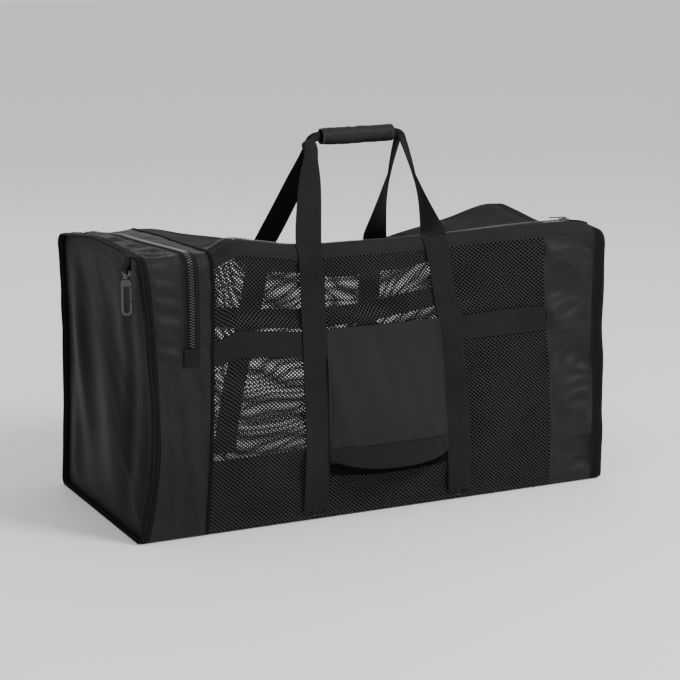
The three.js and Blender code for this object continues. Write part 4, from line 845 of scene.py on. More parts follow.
class Maker:
    """Turns points and faces into pieces that ride on the bag."""

    def __init__(self, finishes: Finishes) -> None:
        """Keeps the finishes."""
        self.finishes = finishes

    def piece(self, name: str, points: Array, faces: list, finish: str, cloth: Array, seam: Array,
              nodes: Sequence[str] = (), slot: str = "", sharp: float = 60) -> bpy.types.Object:
        """Makes one piece.

        Args:
            name: The piece's name.
            points: Its points in millimetres, one row each.
            faces: Lists of point numbers, facing out.
            finish: The name of its finish.
            cloth: The cloth map of each point, in millimetres.
            seam: The distance from the seam's edge and the place along it, in millimetres.
            nodes: The CAD nodes it stands for.
            slot: Not used.
            sharp: The angle over which an edge is creased, in degrees.

        Returns:
            The piece's object.
        """
        mesh = bpy.data.meshes.new(name)
        mesh.from_pydata((points * MILLI).tolist(), [], faces)
        corner = np.empty(len(mesh.loops), dtype=np.int32)
        mesh.loops.foreach_get("vertex_index", corner)
        for key, values in (("cloth", cloth), ("seam", seam)):
            layer = mesh.uv_layers.new(name=key)
            layer.data.foreach_set("uv", (values[corner] * MILLI).astype(np.float32).ravel())
        mesh.polygons.foreach_set("use_smooth", np.ones(len(mesh.polygons), dtype=bool))
        mesh.update()
        mesh.set_sharp_from_angle(angle=math.radians(sharp))
        mesh.materials.append(self.finishes.mapped[finish])
        thing = bpy.data.objects.new(name, mesh)
        bpy.context.scene.collection.objects.link(thing)
        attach(thing, "bag")
        if nodes:
            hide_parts(*nodes)
        log.info("%s: %d points, %d faces", name, len(points), len(faces))
        return thing

    def layers(self, name: str, outer: Array, inner: Array, finish: str, cloth: Array, seam: Array,
               **more: object) -> bpy.types.Object:
        """Makes a closed cloth from two layers of points on one grid.

        Args:
            name: The piece's name.
            outer: The outer layer, rows along the run and columns along x.
            inner: The inner layer.
            finish: The name of its finish.
            cloth: The cloth map on the grid.
            seam: The seam map on the grid.
            more: What else `piece` takes.

        Returns:
            The piece's object.
        """
        rows, cols = outer.shape[:2]
        count = rows * cols
        index = np.arange(count).reshape(rows, cols)
        low, high = index[:-1], index[1:]
        top = np.stack([low[:, :-1], low[:, 1:], high[:, 1:], high[:, :-1]], -1).reshape(-1, 4)
        under = np.stack([low[:, :-1], high[:, :-1], high[:, 1:], low[:, 1:]], -1).reshape(-1, 4) + count
        left = np.stack([low[:, 0] + count, low[:, 0], high[:, 0], high[:, 0] + count], -1)
        right = np.stack([low[:, -1], low[:, -1] + count, high[:, -1] + count, high[:, -1]], -1)
        first, last = index[0], index[-1]
        start = np.stack([first[1:], first[:-1], first[:-1] + count, first[1:] + count], -1)
        end = np.stack([last[:-1], last[1:], last[1:] + count, last[:-1] + count], -1)
        faces = np.vstack([top, under, left, right, start, end]).tolist()
        points = np.vstack([outer.reshape(-1, 3), inner.reshape(-1, 3)])
        maps = [np.vstack([grid.reshape(-1, 2)] * 2) for grid in (cloth, seam)]
        return self.piece(name, points, faces, finish, *maps, **more)

    def panel(self, name: str, left: Line, right: Line, low: float, high: float, finish: str, thick: float,
              lift: Relief | float = 0.0, step: float = 4.0, edge: Edge = Edge.LONG_RUN,
              ruffle: Relief | None = None, start: Line | None = None, settle: float = 16.0,
              **more: object) -> bpy.types.Object:
        """Makes a cloth panel that lies on the body.

        The middle of the cloth is the body's skin moved out by the lift and the ruffles, and its faces lie
        half its thickness to each side.

        Args:
            name: The piece's name.
            left: The line of its left edge.
            right: The line of its right edge.
            low: The run where it starts.
            high: The run where it ends.
            finish: The name of its finish.
            thick: Its thickness.
            lift: How far its middle lies over the skin.
            step: The size of its cells.
            edge: Which way its seams run.
            ruffle: Further height over x and run.
            start: How far the first row moves along the run, at a share of the way across.
            settle: How far from both of its ends along the run the ruffles reach their full height.
            more: What else `piece` takes.

        Returns:
            The piece's object.
        """
        rows = max(2, int(round((high - low) / step)))
        runs = np.linspace(low, high, rows + 1)
        wide = float(np.mean(right(runs) - left(runs)))
        share = np.linspace(0, 1, max(2, int(round(wide / step))) + 1)
        run = np.repeat(runs[:, None], len(share), axis=1)
        if start is not None:
            run = run + start(share)[None, :] * ((high - run) / (high - low))
        x = mix(left(run), right(run), share[None, :])
        height = lift(x, run) if callable(lift) else np.full(x.shape, float(lift))
        if ruffle is not None:
            height = height + ruffle(x, run) * ease((run - low) / settle) * ease((high - run) / settle)
        outward = BODY.axes(x, run)[2]
        middle = BODY.soften(x, run) + outward * height[..., None]
        outer, inner = middle + outward * thick / 2, middle - outward * thick / 2
        from_side = np.minimum(x - x[:, :1], x[:, -1:] - x)
        from_end = np.minimum(run - low, high - run)
        if edge is Edge.LONG_RUN:
            cloth, seam = np.stack([x, run], -1), np.stack([from_side, run], -1)
        else:
            cloth, seam = np.stack([run, x], -1), np.stack([from_end, x], -1)
        return self.layers(name, outer, inner, finish, cloth, seam, **more)


@dataclass
class NetWalls:
    """The two open walls: a diamond net of coated cord, made in bays between the straps."""

    maker: Maker
    pitch_x: float = 6.4
    pitch_run: float = 5.6
    front_holes: float = 0.58
    back_holes: float = 0.44
    cord: float = 0.55
    slack: float = 7.0
    dent_size: float = 84.0
    belt_pull: float = 24.0

    def bay(self, name: str, left: Line, right: Line, low: float, high: float, hole_share: float,
            nodes: Sequence[str]) -> bpy.types.Object:
        """Makes one bay of the net.

        Knots lie where the sum of two half steps is odd, holes where it is even. Each hole is a small
        diamond inside the four knots round it. The cords between are ridges: the knots stand out by the
        cord's radius on both faces, and the holes' edges lie in the middle.

        Args:
            name: The piece's name.
            left: The line of its left edge.
            right: The line of its right edge.
            low: The run where it starts.
            high: The run where it ends.
            hole_share: The size of a hole as a share of the space between its knots.
            nodes: The CAD nodes it stands for.

        Returns:
            The piece's object.
        """
        middle = np.array((low + high) / 2)
        across = 2 * int(round(float(right(middle) - left(middle)) / self.pitch_x))
        down = 2 * int(round((high - low) / self.pitch_run))
        q, p = np.mgrid[0:down + 1, 0:across + 1]

        def spot(p_at: Array, q_at: Array) -> tuple[Array, Array]:
            """Gives the x and the run of a place on the grid."""
            run = mix(low, high, q_at / down)
            return mix(left(run), right(run), p_at / across), run

        knot = (p + q) % 2 == 1
        number = np.full(knot.shape, -1)
        number[knot] = np.arange(knot.sum())
        knot_x, knot_run = spot(p[knot], q[knot])
        out = BODY.axes(knot_x, knot_run)[2]
        dented = self.dent(knot_x, knot_run, left, right, low, high)
        base = BODY.soften(knot_x, knot_run) + out * dented[:, None]
        hole = ~knot & (p > 0) & (p < across) & (q > 0) & (q < down)
        hp, hq = p[hole], q[hole]
        ways = np.array([(1, 0), (0, 1), (-1, 0), (0, -1)])
        rim_x, rim_run = spot(hp[:, None] + ways[:, 0] * hole_share, hq[:, None] + ways[:, 1] * hole_share)
        sink = self.dent(rim_x, rim_run, left, right, low, high)
        rim = (BODY.soften(rim_x, rim_run) + BODY.axes(rim_x, rim_run)[2] * sink[..., None]).reshape(-1, 3)
        knots, holes = len(base), len(hp)
        corner = number[hq[:, None] + ways[:, 1], hp[:, None] + ways[:, 0]]
        selvage = self.selvage(number)
        edge = 2 * knots + np.arange(holes)[:, None] * 4 + np.arange(4)
        after, edge_after = np.roll(corner, -1, 1), np.roll(edge, -1, 1)
        face = np.stack([corner, after, edge_after, edge], -1).reshape(-1, 4)
        rear = np.stack([corner + knots, edge, edge_after, after + knots], -1).reshape(-1, 4)
        a = np.concatenate([corner.ravel(), selvage.ravel()])
        b = np.concatenate([after.ravel(), np.roll(selvage, -1, 1).ravel()])
        key = np.minimum(a, b) * (knots + 1) + np.maximum(a, b)
        _, back, count = np.unique(key, return_inverse=True, return_counts=True)
        lone = count[back] == 1
        rimmed = np.stack([b[lone], a[lone], a[lone] + knots, b[lone] + knots], -1)
        points = np.vstack([base + out * self.cord, base - out * self.cord, rim])
        cloth = np.stack([np.concatenate([knot_x, knot_x, rim_x.ravel()]),
                          np.concatenate([knot_run, knot_run, rim_run.ravel()])], -1)
        faces = np.vstack([face, rear, rimmed]).tolist()
        faces += selvage.tolist() + (selvage[:, ::-1] + knots).tolist()
        return self.maker.piece(name, points, faces, "net", cloth, cloth, nodes=nodes, slot="mesh", sharp=180)

    def dent(self, x: Array, run: Array, left: Line, right: Line, low: float, high: float) -> Array:
        """Gives the soft dents of a bay: the net hangs inwards between its sewn edges and the belt.

        Args:
            x: Places along the bag.
            run: Runs round the section.
            left: The line of the bay's left edge.
            right: The line of its right edge.
            low: The run where it starts.
            high: The run where it ends.

        Returns:
            How far the net moves outwards, nil or less.
        """
        share = (x - left(run)) / (right(run) - left(run))
        down = (run - low) / (high - low)
        belt = ease((np.abs(BODY.section(run)[1] - BELT_HEIGHT) - BELT_WIDE / 2) / self.belt_pull)
        free = (1 - np.abs(2 * share - 1) ** 4) * (1 - np.abs(2 * down - 1) ** 8) * belt
        waves = 0.6 * ripple(x + 0.4 * run, run, self.dent_size, 71, waves=5) + 0.5
        return -self.slack * free * np.clip(waves, 0, 2)

    @staticmethod
    def selvage(number: Array) -> Array:
        """Gives the triangles that fill the half holes along the edges of a bay.

        Args:
            number: The number of each knot on the grid of half steps, minus 1 where there is none.

        Returns:
            Triangles of knot numbers, facing out.
        """
        down, across = number.shape[0] - 1, number.shape[1] - 1
        tall, wide = np.arange(2, down - 1, 2), np.arange(2, across - 1, 2)
        return np.vstack([
            np.stack([number[tall, 1], number[tall + 1, 0], number[tall - 1, 0]], -1),
            np.stack([number[tall + 1, across], number[tall, across - 1], number[tall - 1, across]], -1),
            np.stack([number[0, wide + 1], number[1, wide], number[0, wide - 1]], -1),
            np.stack([number[down, wide + 1], number[down, wide - 1], number[down - 1, wide]], -1),
        ])

    def build(self) -> None:
        """Makes the bays of both walls."""
        left, right = BODY_LEFT, beside(right_band_line, TUCK)
        for wall, low, high, holes, node in (
            (Wall.FRONT, FLOOR_FRONT - TUCK, BAND_FROM + TUCK, self.front_holes, "front_mesh"),
            (Wall.BACK, BACK_BAND_TO - TUCK, FLOOR_BACK + BODY.girth + TUCK, self.back_holes, "back_mesh"),
        ):
            cuts = [left, lambda run: strap_line("left", run), lambda run: strap_line("right", run), right]
            for n, part in enumerate(("left", "middle", "right")):
                self.bay(f"net_{wall.name.lower()}_{part}", cuts[n], cuts[n + 1], low, high, holes, [node])


@dataclass
class NylonShell:
    """The smooth nylon: end panels, gussets, bands, floor, top and the wall of the end pocket."""

    maker: Maker
    pillow: float = 6.0
    around: int = 340
    rings: int = 44
    hub_share: float = 0.012
    mid_width: float = 170.0
    lap: float = 0.1

    @staticmethod
    def creased(seed: int, size: float, height: float, reach_x: float = 1.0, reach_run: float = 1.0,
                slant: float = 0.0) -> Relief:
        """Gives soft billows with a few finer folds on them.

        Args:
            seed: Picks the folds.
            size: The middle pitch of the folds, in millimetres.
            height: How high they stand.
            reach_x: How many times longer they are along x than they are apart.
            reach_run: How many times longer they are along the run than they are apart.
            slant: How far x shifts with the run.

        Returns:
            The height over x and run.
        """
        def shape(x: Array, run: Array) -> Array:
            """Adds broad waves and fine ones with sharp ridges."""
            a, b = (x + slant * run) / reach_x, run / reach_run
            broad = ripple(a, b, size, seed, waves=5)
            fine = ripple(a, b, size * 0.42, seed + 50, waves=5)
            return height * (0.62 * broad - 0.25 * np.abs(fine))
        return shape

    def end_panel(self, name: str, line: Line, inset: Line, faces: int, nodes: Sequence[str],
                  pillow: float) -> bpy.types.Object:
        """Makes a wall across the bag.

        Rings of points shrink from the rim, which follows the body, to the middle. Each is moved out along x
        by the pillow, which is full in the middle and nil at the rim, plus the end's folds.

        Args:
            name: The piece's name.
            line: The x of the rim at a run.
            inset: How far the rim lies inside the skin.
            faces: Minus 1 if its outside looks to minus X, else 1.
            nodes: The CAD nodes it stands for.
            pillow: The height of its pillow.

        Returns:
            The piece's object.
        """
        count, rings = self.around, self.rings
        runs = np.linspace(0, BODY.girth, count, endpoint=False)
        rim = BODY.skin(line(runs), runs, -inset(runs))
        hub = rim.mean(0)
        hub[2] = BODY.height / 2
        share = np.linspace(1, self.hub_share, rings) ** 0.85
        points = hub + (rim[None] - hub) * share[:, None, None]
        points[..., 0] = hub[0] + (rim[None, :, 0] - hub[0]) * share[:, None] ** 2
        across, up = points[..., 1] / (BODY.depth / 2), points[..., 2] / BODY.height
        folds = np.zeros(across.shape)
        for a, b, wide, tall, lean, depth in zip(*END_FOLDS.values()):
            rise = (up - b) / tall
            folds += depth * hump((across - a) / wide - lean * rise) * hump(rise)
        free = 1 - share[:, None] ** 4
        crease = self.creased(11 if faces < 0 else 12, 120.0, 2.0, 1.0, 2.2, -0.35)
        fine = crease(points[..., 1], points[..., 2])
        points[..., 0] += faces * (pillow * free * (0.5 + folds) + min(1, pillow) * fine * free)
        half = np.array([BODY.cloth / 2 * faces, 0, 0])
        cloth = np.stack([points[..., 1], points[..., 2]], -1)
        seam = np.stack([(1 - share[:, None]) * self.mid_width + 0 * across, runs[None, :] + 0 * across], -1)
        total = rings * count
        front = loop_quads(rings, count)[:, [0, 3, 2, 1]]
        back = front[:, ::-1] + total
        edge = np.arange(count)
        after = np.roll(edge, -1)
        rim_edge = np.stack([after, edge, edge + total, after + total], -1)
        hub_edge = edge + total - count
        caps = [hub_edge.tolist(), (hub_edge[::-1] + total).tolist()]
        quads = np.vstack([front, back, rim_edge]).tolist() + caps
        if faces < 0:
            quads = [quad[::-1] for quad in quads]
        every = np.vstack([(points + half).reshape(-1, 3), (points - half).reshape(-1, 3)])
        maps = [np.vstack([grid.reshape(-1, 2)] * 2) for grid in (cloth, seam)]
        # The end walls and the pocket wall take the darker copy of the nylon, a painted shade for the ends.
        return self.maker.piece(name, every, quads, "end_nylon_shaded", *maps, nodes=nodes, slot="nylon")

    def build(self) -> None:
        """Makes every nylon panel."""
        gap = BODY.seam_gap
        inset = straight(FLANGE_THICK - BODY.cloth / 2 + gap)
        self.end_panel("end_wall_left", straight(BODY.left_end + 1), inset, -1, ["end_panel_left"],
                       self.pillow)
        self.end_panel("end_wall_right", straight(BODY.right_end - FLANGE_RIGHT + FLANGE_THICK), inset, 1,
                       ["end_panel_right"], self.pillow)
        self.end_panel("pocket_wall", piping_line, straight(PIPING_THICK / 2 + 1 + gap), -1,
                       ["pocket_divider"], 0.0)
        panel = self.maker.panel
        outer = straight(BODY.left_end + FLANGE_LEFT / 2 - gap - TUCK)
        inner = beside(piping_line, -PIPING_WIDE / 2 + TUCK)
        cloth = BODY.cloth
        panel("gusset_low_cloth", outer, inner, END_ZIP_TO - BODY.girth, END_ZIP_FROM, "gusset_nylon",
              cloth, slot="nylon", nodes=["gusset_lower"],
              ruffle=self.on_walls(self.creased(21, 40.0, 3.6, 1.0, 3.4, 0.1), outer, inner))
        to_zip = beside(end_zip_line, -ZIP_TAPE / 2)
        panel("gusset_outer_cloth", outer, to_zip, END_ZIP_FROM, END_ZIP_TO, "gusset_nylon",
              cloth, slot="nylon", nodes=["gusset_outer"],
              ruffle=self.on_walls(self.creased(22, 34.0, 4.0, 1.3, 1.0, 0.9), outer, to_zip))
        from_zip = beside(end_zip_line, ZIP_TAPE / 2)
        panel("gusset_inner_cloth", from_zip, inner, END_ZIP_FROM, END_ZIP_TO, "gusset_nylon",
              cloth, step=3.0, slot="nylon", nodes=["gusset_inner"],
              ruffle=self.on_walls(self.creased(23, 28.0, 2.2, 1.4, 1.0, 0.4), from_zip, inner))
        # The floor takes the darker nylon, a painted shade for the inside of the bag.
        panel("floor_cloth", BODY_LEFT, BODY_RIGHT, FLOOR_BACK, FLOOR_FRONT, "floor_nylon_shaded", cloth, step=8.0,
              edge=Edge.LONG_X, nodes=["bottom_panel"], slot="nylon")
        for wall, low, high in ((Wall.FRONT, FLOOR_FRONT, BAND_FROM),
                                (Wall.BACK, BACK_BAND_TO, FLOOR_BACK + BODY.girth)):
            side = wall.name.lower()
            folds = self.creased(24 + wall.value, 84.0, 10.0, 2.2, 1.0, 0.3)
            panel(f"right_band_{side}_cloth", right_band_line, BODY_RIGHT, low, high, "nylon", cloth,
                  step=3.0, ruffle=self.on_walls(folds, right_band_line, BODY_RIGHT),
                  nodes=[f"right_band_{side}"])
        panel("top_cloth", BODY_LEFT, BODY_RIGHT, TAPE_TO - self.lap, BACK_BAND_FROM + self.lap,
              "top_nylon", cloth, step=4.5, slot="nylon", edge=Edge.LONG_X, nodes=["top_panel"],
              ruffle=self.on_walls(self.creased(30, 90.0, 3.6, 1.0, 1.6, 0.3), BODY_LEFT, BODY_RIGHT))

    @staticmethod
    def on_walls(shape: Relief, left: Line, right: Line) -> Relief:
        """Fades creases out at a panel's two edges and near the floor."""
        def faded(x: Array, run: Array) -> Array:
            """Scales the creases by the distance from the edges and the floor."""
            share = (x - left(run)) / (right(run) - left(run))
            edge = 1 - np.abs(2 * share - 1) ** 6
            return shape(x, run) * edge * ease(BODY.up(run) / 0.08)
        return faded


@dataclass
class Bindings:
    """The bound seams: the flanges round both ends, the piping and the ribbed bands."""

    maker: Maker
    rows: int = 420
    around: int = 20
    flange_waver: float = 0.7

    def ring(self, name: str, left: Line, right: Line, thick: float, lift: Line,
             nodes: Sequence[str], waver: float) -> bpy.types.Object:
        """Makes a bound seam all round the section.

        A flat loop with round edges is carried round the bag between its two lines.

        Args:
            name: The piece's name.
            left: The line of its left edge.
            right: The line of its right edge.
            thick: Its thickness.
            lift: How far its middle lies over the skin at a run.
            nodes: The CAD nodes it stands for.
            waver: How far it wanders along x.

        Returns:
            The piece's object.
        """
        runs = np.linspace(0, BODY.girth, self.rows, endpoint=False)
        c, s = loop_profile(self.around, 0.7, 0.45)
        run = np.repeat(runs[:, None], self.around, 1)
        half = (right(runs) - left(runs))[:, None] / 2
        round_bag = run / BODY.girth * 2 * math.pi
        wander = waver * ripple(np.cos(round_bag) * 200, np.sin(round_bag) * 200, 60.0, 41)
        wander = wander * ease(BODY.up(run) / 0.1)
        x = left(runs)[:, None] + half * (1 + c[None, :]) + wander
        points = BODY.skin(x, run, lift(runs)[:, None] + s[None, :] * thick / 2)
        faces = loop_quads(self.rows, self.around, closed=True)
        cloth = np.stack([x, run], -1).reshape(-1, 2)
        seam = np.stack([half * (1 - np.abs(c[None, :])) + 0 * run, run], -1).reshape(-1, 2)
        return self.maker.piece(name, points.reshape(-1, 3), faces.tolist(), "binding", cloth, seam,
                                nodes=nodes, sharp=180)

    def build(self) -> None:
        """Makes the flanges, the piping and the bands."""
        gap = BODY.seam_gap
        flush = straight(-(FLANGE_THICK - BODY.cloth) / 2)
        self.ring("flange_left", straight(BODY.left_end - FLANGE_LEFT / 2),
                  straight(BODY.left_end + FLANGE_LEFT / 2 - gap), FLANGE_THICK, flush,
                  ["end_flange_left"], self.flange_waver)
        self.ring("flange_right", straight(BODY.right_end - FLANGE_RIGHT + gap), straight(BODY.right_end),
                  FLANGE_THICK, flush, ["end_flange_right"], self.flange_waver)
        half = (PIPING_THICK - BODY.cloth) / 2
        self.ring("piping", beside(piping_line, -PIPING_WIDE / 2), beside(piping_line, PIPING_WIDE / 2),
                  PIPING_THICK, lambda run: mix(-1, 1, ease(BODY.up(run) / 0.06)) * half,
                  ["body_piping"], 0.0)
        panel = self.maker.panel
        panel("top_band", BODY_LEFT, BODY_RIGHT, BAND_FROM, BAND_TO, "ribbed_band", BODY.cloth, step=3.0,
              edge=Edge.LONG_X, nodes=["top_front_band"])
        panel("back_band", BODY_LEFT, BODY_RIGHT, BACK_BAND_FROM, BACK_BAND_TO, "ribbed_band", BODY.cloth,
              step=3.0, edge=Edge.LONG_X, nodes=["back_top_band"])


@dataclass
class Zips:
    """The two zips: tapes, interlocking teeth, end tabs, sliders and pulls."""

    maker: Maker
    tooth_pitch: float = 1.9
    tooth_share: float = 0.76
    tooth_wide: float = 4.0
    tooth_offset: float = 1.75
    stations: int = 500

    def teeth(self, name: str, x: Array, run: Array, along_x: bool, nodes: Sequence[str]) -> bpy.types.Object:
        """Makes the two rows of teeth along a zip.

        Each tooth is a small box with a narrowed top. Every second one starts from the other side of the
        chain, and reaches just past its middle.

        Args:
            name: The piece's name.
            x: The places of the zip's middle line.
            run: The runs of the same places.
            along_x: Whether the zip runs along x.
            nodes: The CAD nodes it stands for.

        Returns:
            The piece's object.
        """
        points = BODY.skin(x, run, OVER_CLOTH)
        far = distances(points)
        count = int(far[-1] / self.tooth_pitch) - 1
        at = (np.arange(count) + 1) * self.tooth_pitch
        tx, tr = np.interp(at, far, x), np.interp(at, far, run)
        along, across, out = BODY.axes(tx, tr)
        if not along_x:
            along, across = across, along
        side = np.where(np.arange(count) % 2 == 0, 1.0, -1.0)
        base = BODY.skin(tx, tr, OVER_CLOTH)
        wide, long, tall = self.tooth_wide, self.tooth_pitch * self.tooth_share, ZIP_CHAIN_THICK
        box = np.array([(-1, -1, 0), (1, -1, 0), (1, 1, 0), (-1, 1, 0),
                        (-1, -1, 0.7), (1, -1, 0.7), (1, 1, 0.7), (-1, 1, 0.7),
                        (-0.8, -0.4, 1), (0.8, -0.4, 1), (0.8, 0.4, 1), (-0.8, 0.4, 1)], float)
        middle = base + across * (side * self.tooth_offset)[:, None]
        corner = (middle[:, None] + across[:, None] * (box[None, :, :1] * wide / 2)
                  + along[:, None] * (box[None, :, 1:2] * long / 2)
                  + out[:, None] * (box[None, :, 2:] * tall))
        quads = np.array([(0, 3, 2, 1), (0, 1, 5, 4), (1, 2, 6, 5), (2, 3, 7, 6), (3, 0, 4, 7), (4, 5, 9, 8),
                          (5, 6, 10, 9), (6, 7, 11, 10), (7, 4, 8, 11), (8, 9, 10, 11)])
        handed = np.einsum("ij,ij->i", np.cross(across, along), out)[0]
        quads = quads if handed > 0 else quads[:, ::-1]
        faces = (quads[None] + np.arange(count)[:, None, None] * len(box)).reshape(-1, 4)
        flat = np.repeat(np.stack([tx, tr], -1), len(box), 0)
        return self.maker.piece(name, corner.reshape(-1, 3), faces.tolist(), "zip_teeth", flat, flat,
                                nodes=nodes, sharp=30)

    def build(self) -> None:
        """Makes both zips."""
        panel = self.maker.panel
        cloth, half = BODY.cloth, ZIP_TAPE / 2
        panel("top_tape", BODY_LEFT, BODY_RIGHT, TAPE_FROM, TAPE_TO, "zip_tape", cloth, step=3.2,
              edge=Edge.LONG_X, nodes=["top_zip_tape"])
        panel("end_tape", beside(end_zip_line, -half), beside(end_zip_line, half), END_ZIP_FROM, END_ZIP_TO,
              "zip_tape", cloth, step=3.2, nodes=["end_zip_tape"])
        tab_lift = OVER_CLOTH + ZIP_TAB_THICK / 2
        panel("top_tab", straight(ZIP_END + BODY.seam_gap), BODY_RIGHT, TAPE_FROM, TAPE_TO, "webbing",
              ZIP_TAB_THICK, lift=tab_lift, step=2.5, edge=Edge.LONG_X, nodes=["top_zip_tab"])
        for name, low, high, node in (("end_tab_low", END_ZIP_FROM, END_CHAIN_FROM, "end_zip_tab_front"),
                                      ("end_tab_back", END_CHAIN_TO, END_ZIP_TO, "end_zip_tab_back")):
            panel(name, beside(end_zip_line, -half), beside(end_zip_line, half), low, high, "webbing",
                  ZIP_TAB_THICK, lift=tab_lift, step=2.5, nodes=[node])
        x = np.linspace(float(BODY_LEFT(np.array(TAPE_MIDDLE))), TOP_CHAIN_END, self.stations)
        self.teeth("top_teeth", x, np.full(self.stations, TAPE_MIDDLE), True, ["top_zip_chain"])
        run = np.linspace(END_CHAIN_FROM + BODY.seam_gap, END_CHAIN_TO - SLIDER_LENGTH - 2 * SLIDER_PLAY,
                          self.stations)
        self.teeth("end_teeth", end_zip_line(run), run, False, ["end_zip_chain"])
        for node in ("top_zip_slider", "end_zip_slider", "top_zip_pull", "end_zip_pull"):
            self.maker.finishes.wear_on_node(node, "metal")


@dataclass
class Straps:
    """The webbing: carry straps with their legs and grip, and the belts under them."""

    maker: Maker
    wall_rows: int = 110
    rise_rows: int = 44
    bend_rows: int = 12
    bend_from: float = 0.88
    leave: float = 14.0
    fold_at: float = 0.83
    fold_wide: float = 9.0
    fold_thick: float = 3.6
    neck_at: float = 0.92
    curl_at: float = 0.62
    curl_tall: float = 2.4
    pad_rows: int = 46
    pad_around: int = 64
    pad_radius: float = 11.0
    pad_lip: float = 1.5
    pad_seam: float = 1.1
    pad_end: float = 30.0

    @staticmethod
    def lift(run: Array) -> Array:
        """How far the middle of a strap lies over the cloth: it climbs over the belt."""
        climb = 5 * WEBBING_THICK
        away = (np.abs(BODY.section(run)[1] - BELT_HEIGHT) - BELT_WIDE / 2) / climb
        return OVER_CLOTH + WEBBING_THICK / 2 + (BELT_THICK + BODY.seam_gap) * (1 - ease(away))

    @staticmethod
    def profile() -> tuple[Array, Array]:
        """A flat loop with round edges, as shares of half the width and half the thickness."""
        return loop_profile(28, 0.45, 0.6)

    def wall_part(self, side: str, runs: Array, sign: float) -> Array:
        """Makes the loops of a strap on a wall.

        Each loop's points lie on the skin, moved out by the lift and the profile.

        Args:
            side: Left or right.
            runs: Runs from the floor seam to the top edge.
            sign: Plus 1 if the profile's width runs along plus X.

        Returns:
            The loops, one row for each run.
        """
        c, s = self.profile()
        x = strap_line(side, runs)[:, None] + sign * c[None, :] * WEBBING_WIDE / 2
        out = self.lift(runs)[:, None] + s[None, :] * WEBBING_THICK / 2
        return BODY.skin(x, np.repeat(runs[:, None], len(c), 1), out)

    def leg_part(self, start: Array, ahead: Array, outward: Array, grip_end: Array, facing: float,
                 sign: float) -> Array:
        """Makes the loops of a free leg.

        The middle line is a cubic curve from the top edge to a knee under the grip's end and a quadratic
        one round into the grip; the back left leg bows in behind the front one. The webbing narrows,
        thickens and turns by the leg line, and the right legs make half a turn about themselves by the
        twist's table. The front left leg is folded over itself under the grip, which makes a thick place.

        Args:
            start: Where the strap leaves the bag.
            ahead: Its direction there.
            outward: Its outer face's direction there.
            grip_end: Where it enters the grip.
            facing: 1 for the strap on the front.
            sign: 1 at the left end of the grip.

        Returns:
            The loops, one row for each place, going up.
        """
        elbow = grip_end - np.array([sign * GRIP_MOUTH, 0, 0])
        knee = elbow - unit(elbow - start) * GRIP_MOUTH
        first, second = start + ahead * self.leave, mix(start, knee, 0.7)
        if sign > 0 and facing < 0:
            second = second + np.array([BACK_LEG_BOW, 0, 0])
        t = np.linspace(0, 1, self.rise_rows)[1:, None]
        rise = ((1 - t) ** 3 * start + 3 * (1 - t) ** 2 * t * first + 3 * (1 - t) * t ** 2 * second
                + t ** 3 * knee)
        rise_way = (3 * (1 - t) ** 2 * (first - start) + 6 * (1 - t) * t * (second - first)
                    + 3 * t ** 2 * (knee - second))
        u = np.linspace(0, 1, self.bend_rows)[1:, None]
        bend = (1 - u) ** 2 * knee + 2 * (1 - u) * u * elbow + u ** 2 * grip_end
        bend_way = 2 * (1 - u) * (elbow - knee) + 2 * u * (grip_end - elbow)
        path, way = np.vstack([rise, bend]), unit(np.vstack([rise_way, bend_way]))
        up = np.concatenate([t[:, 0] * self.bend_from, self.bend_from + u[:, 0] * (1 - self.bend_from)])
        turn = read(LEG_LINE, "up", up, "turn")[:, None]
        out = unit(mix(outward, np.array([0, -facing, 0.0]), turn))
        across = unit(np.cross(way, out)) * sign
        out = unit(np.cross(across, way)) * sign
        if sign < 0:
            angle = (-2 * math.pi * read(RIGHT_TWIST, "up", up, "turns"))[:, None]
            across, out = (across * np.cos(angle) + out * np.sin(angle),
                           out * np.cos(angle) - across * np.sin(angle))
        wide = WEBBING_WIDE / 2 * read(LEG_LINE, "up", up, "width")
        thick = WEBBING_THICK / 2 * read(LEG_LINE, "up", up, "thick")
        c, s = self.profile()
        reach = c[None, :] * wide[:, None]
        if sign > 0 and facing > 0:
            fold = hump((up - self.fold_at) / 0.05)
            neck = hump((up - self.neck_at) / 0.06)
            thick = thick + self.fold_thick * fold
            reach = reach * (1 - 0.3 * neck)[:, None]
            reach = reach + self.fold_wide * fold[:, None] * np.minimum(c, 0)[None, :]
        curl = self.curl_tall * hump((up - self.curl_at) / 0.22)
        height = s[None, :] * thick[:, None] - curl[:, None] * (c[None, :] ** 2 - 0.4)
        return path[:, None] + across[:, None] * reach[..., None] + out[:, None] * height[..., None]

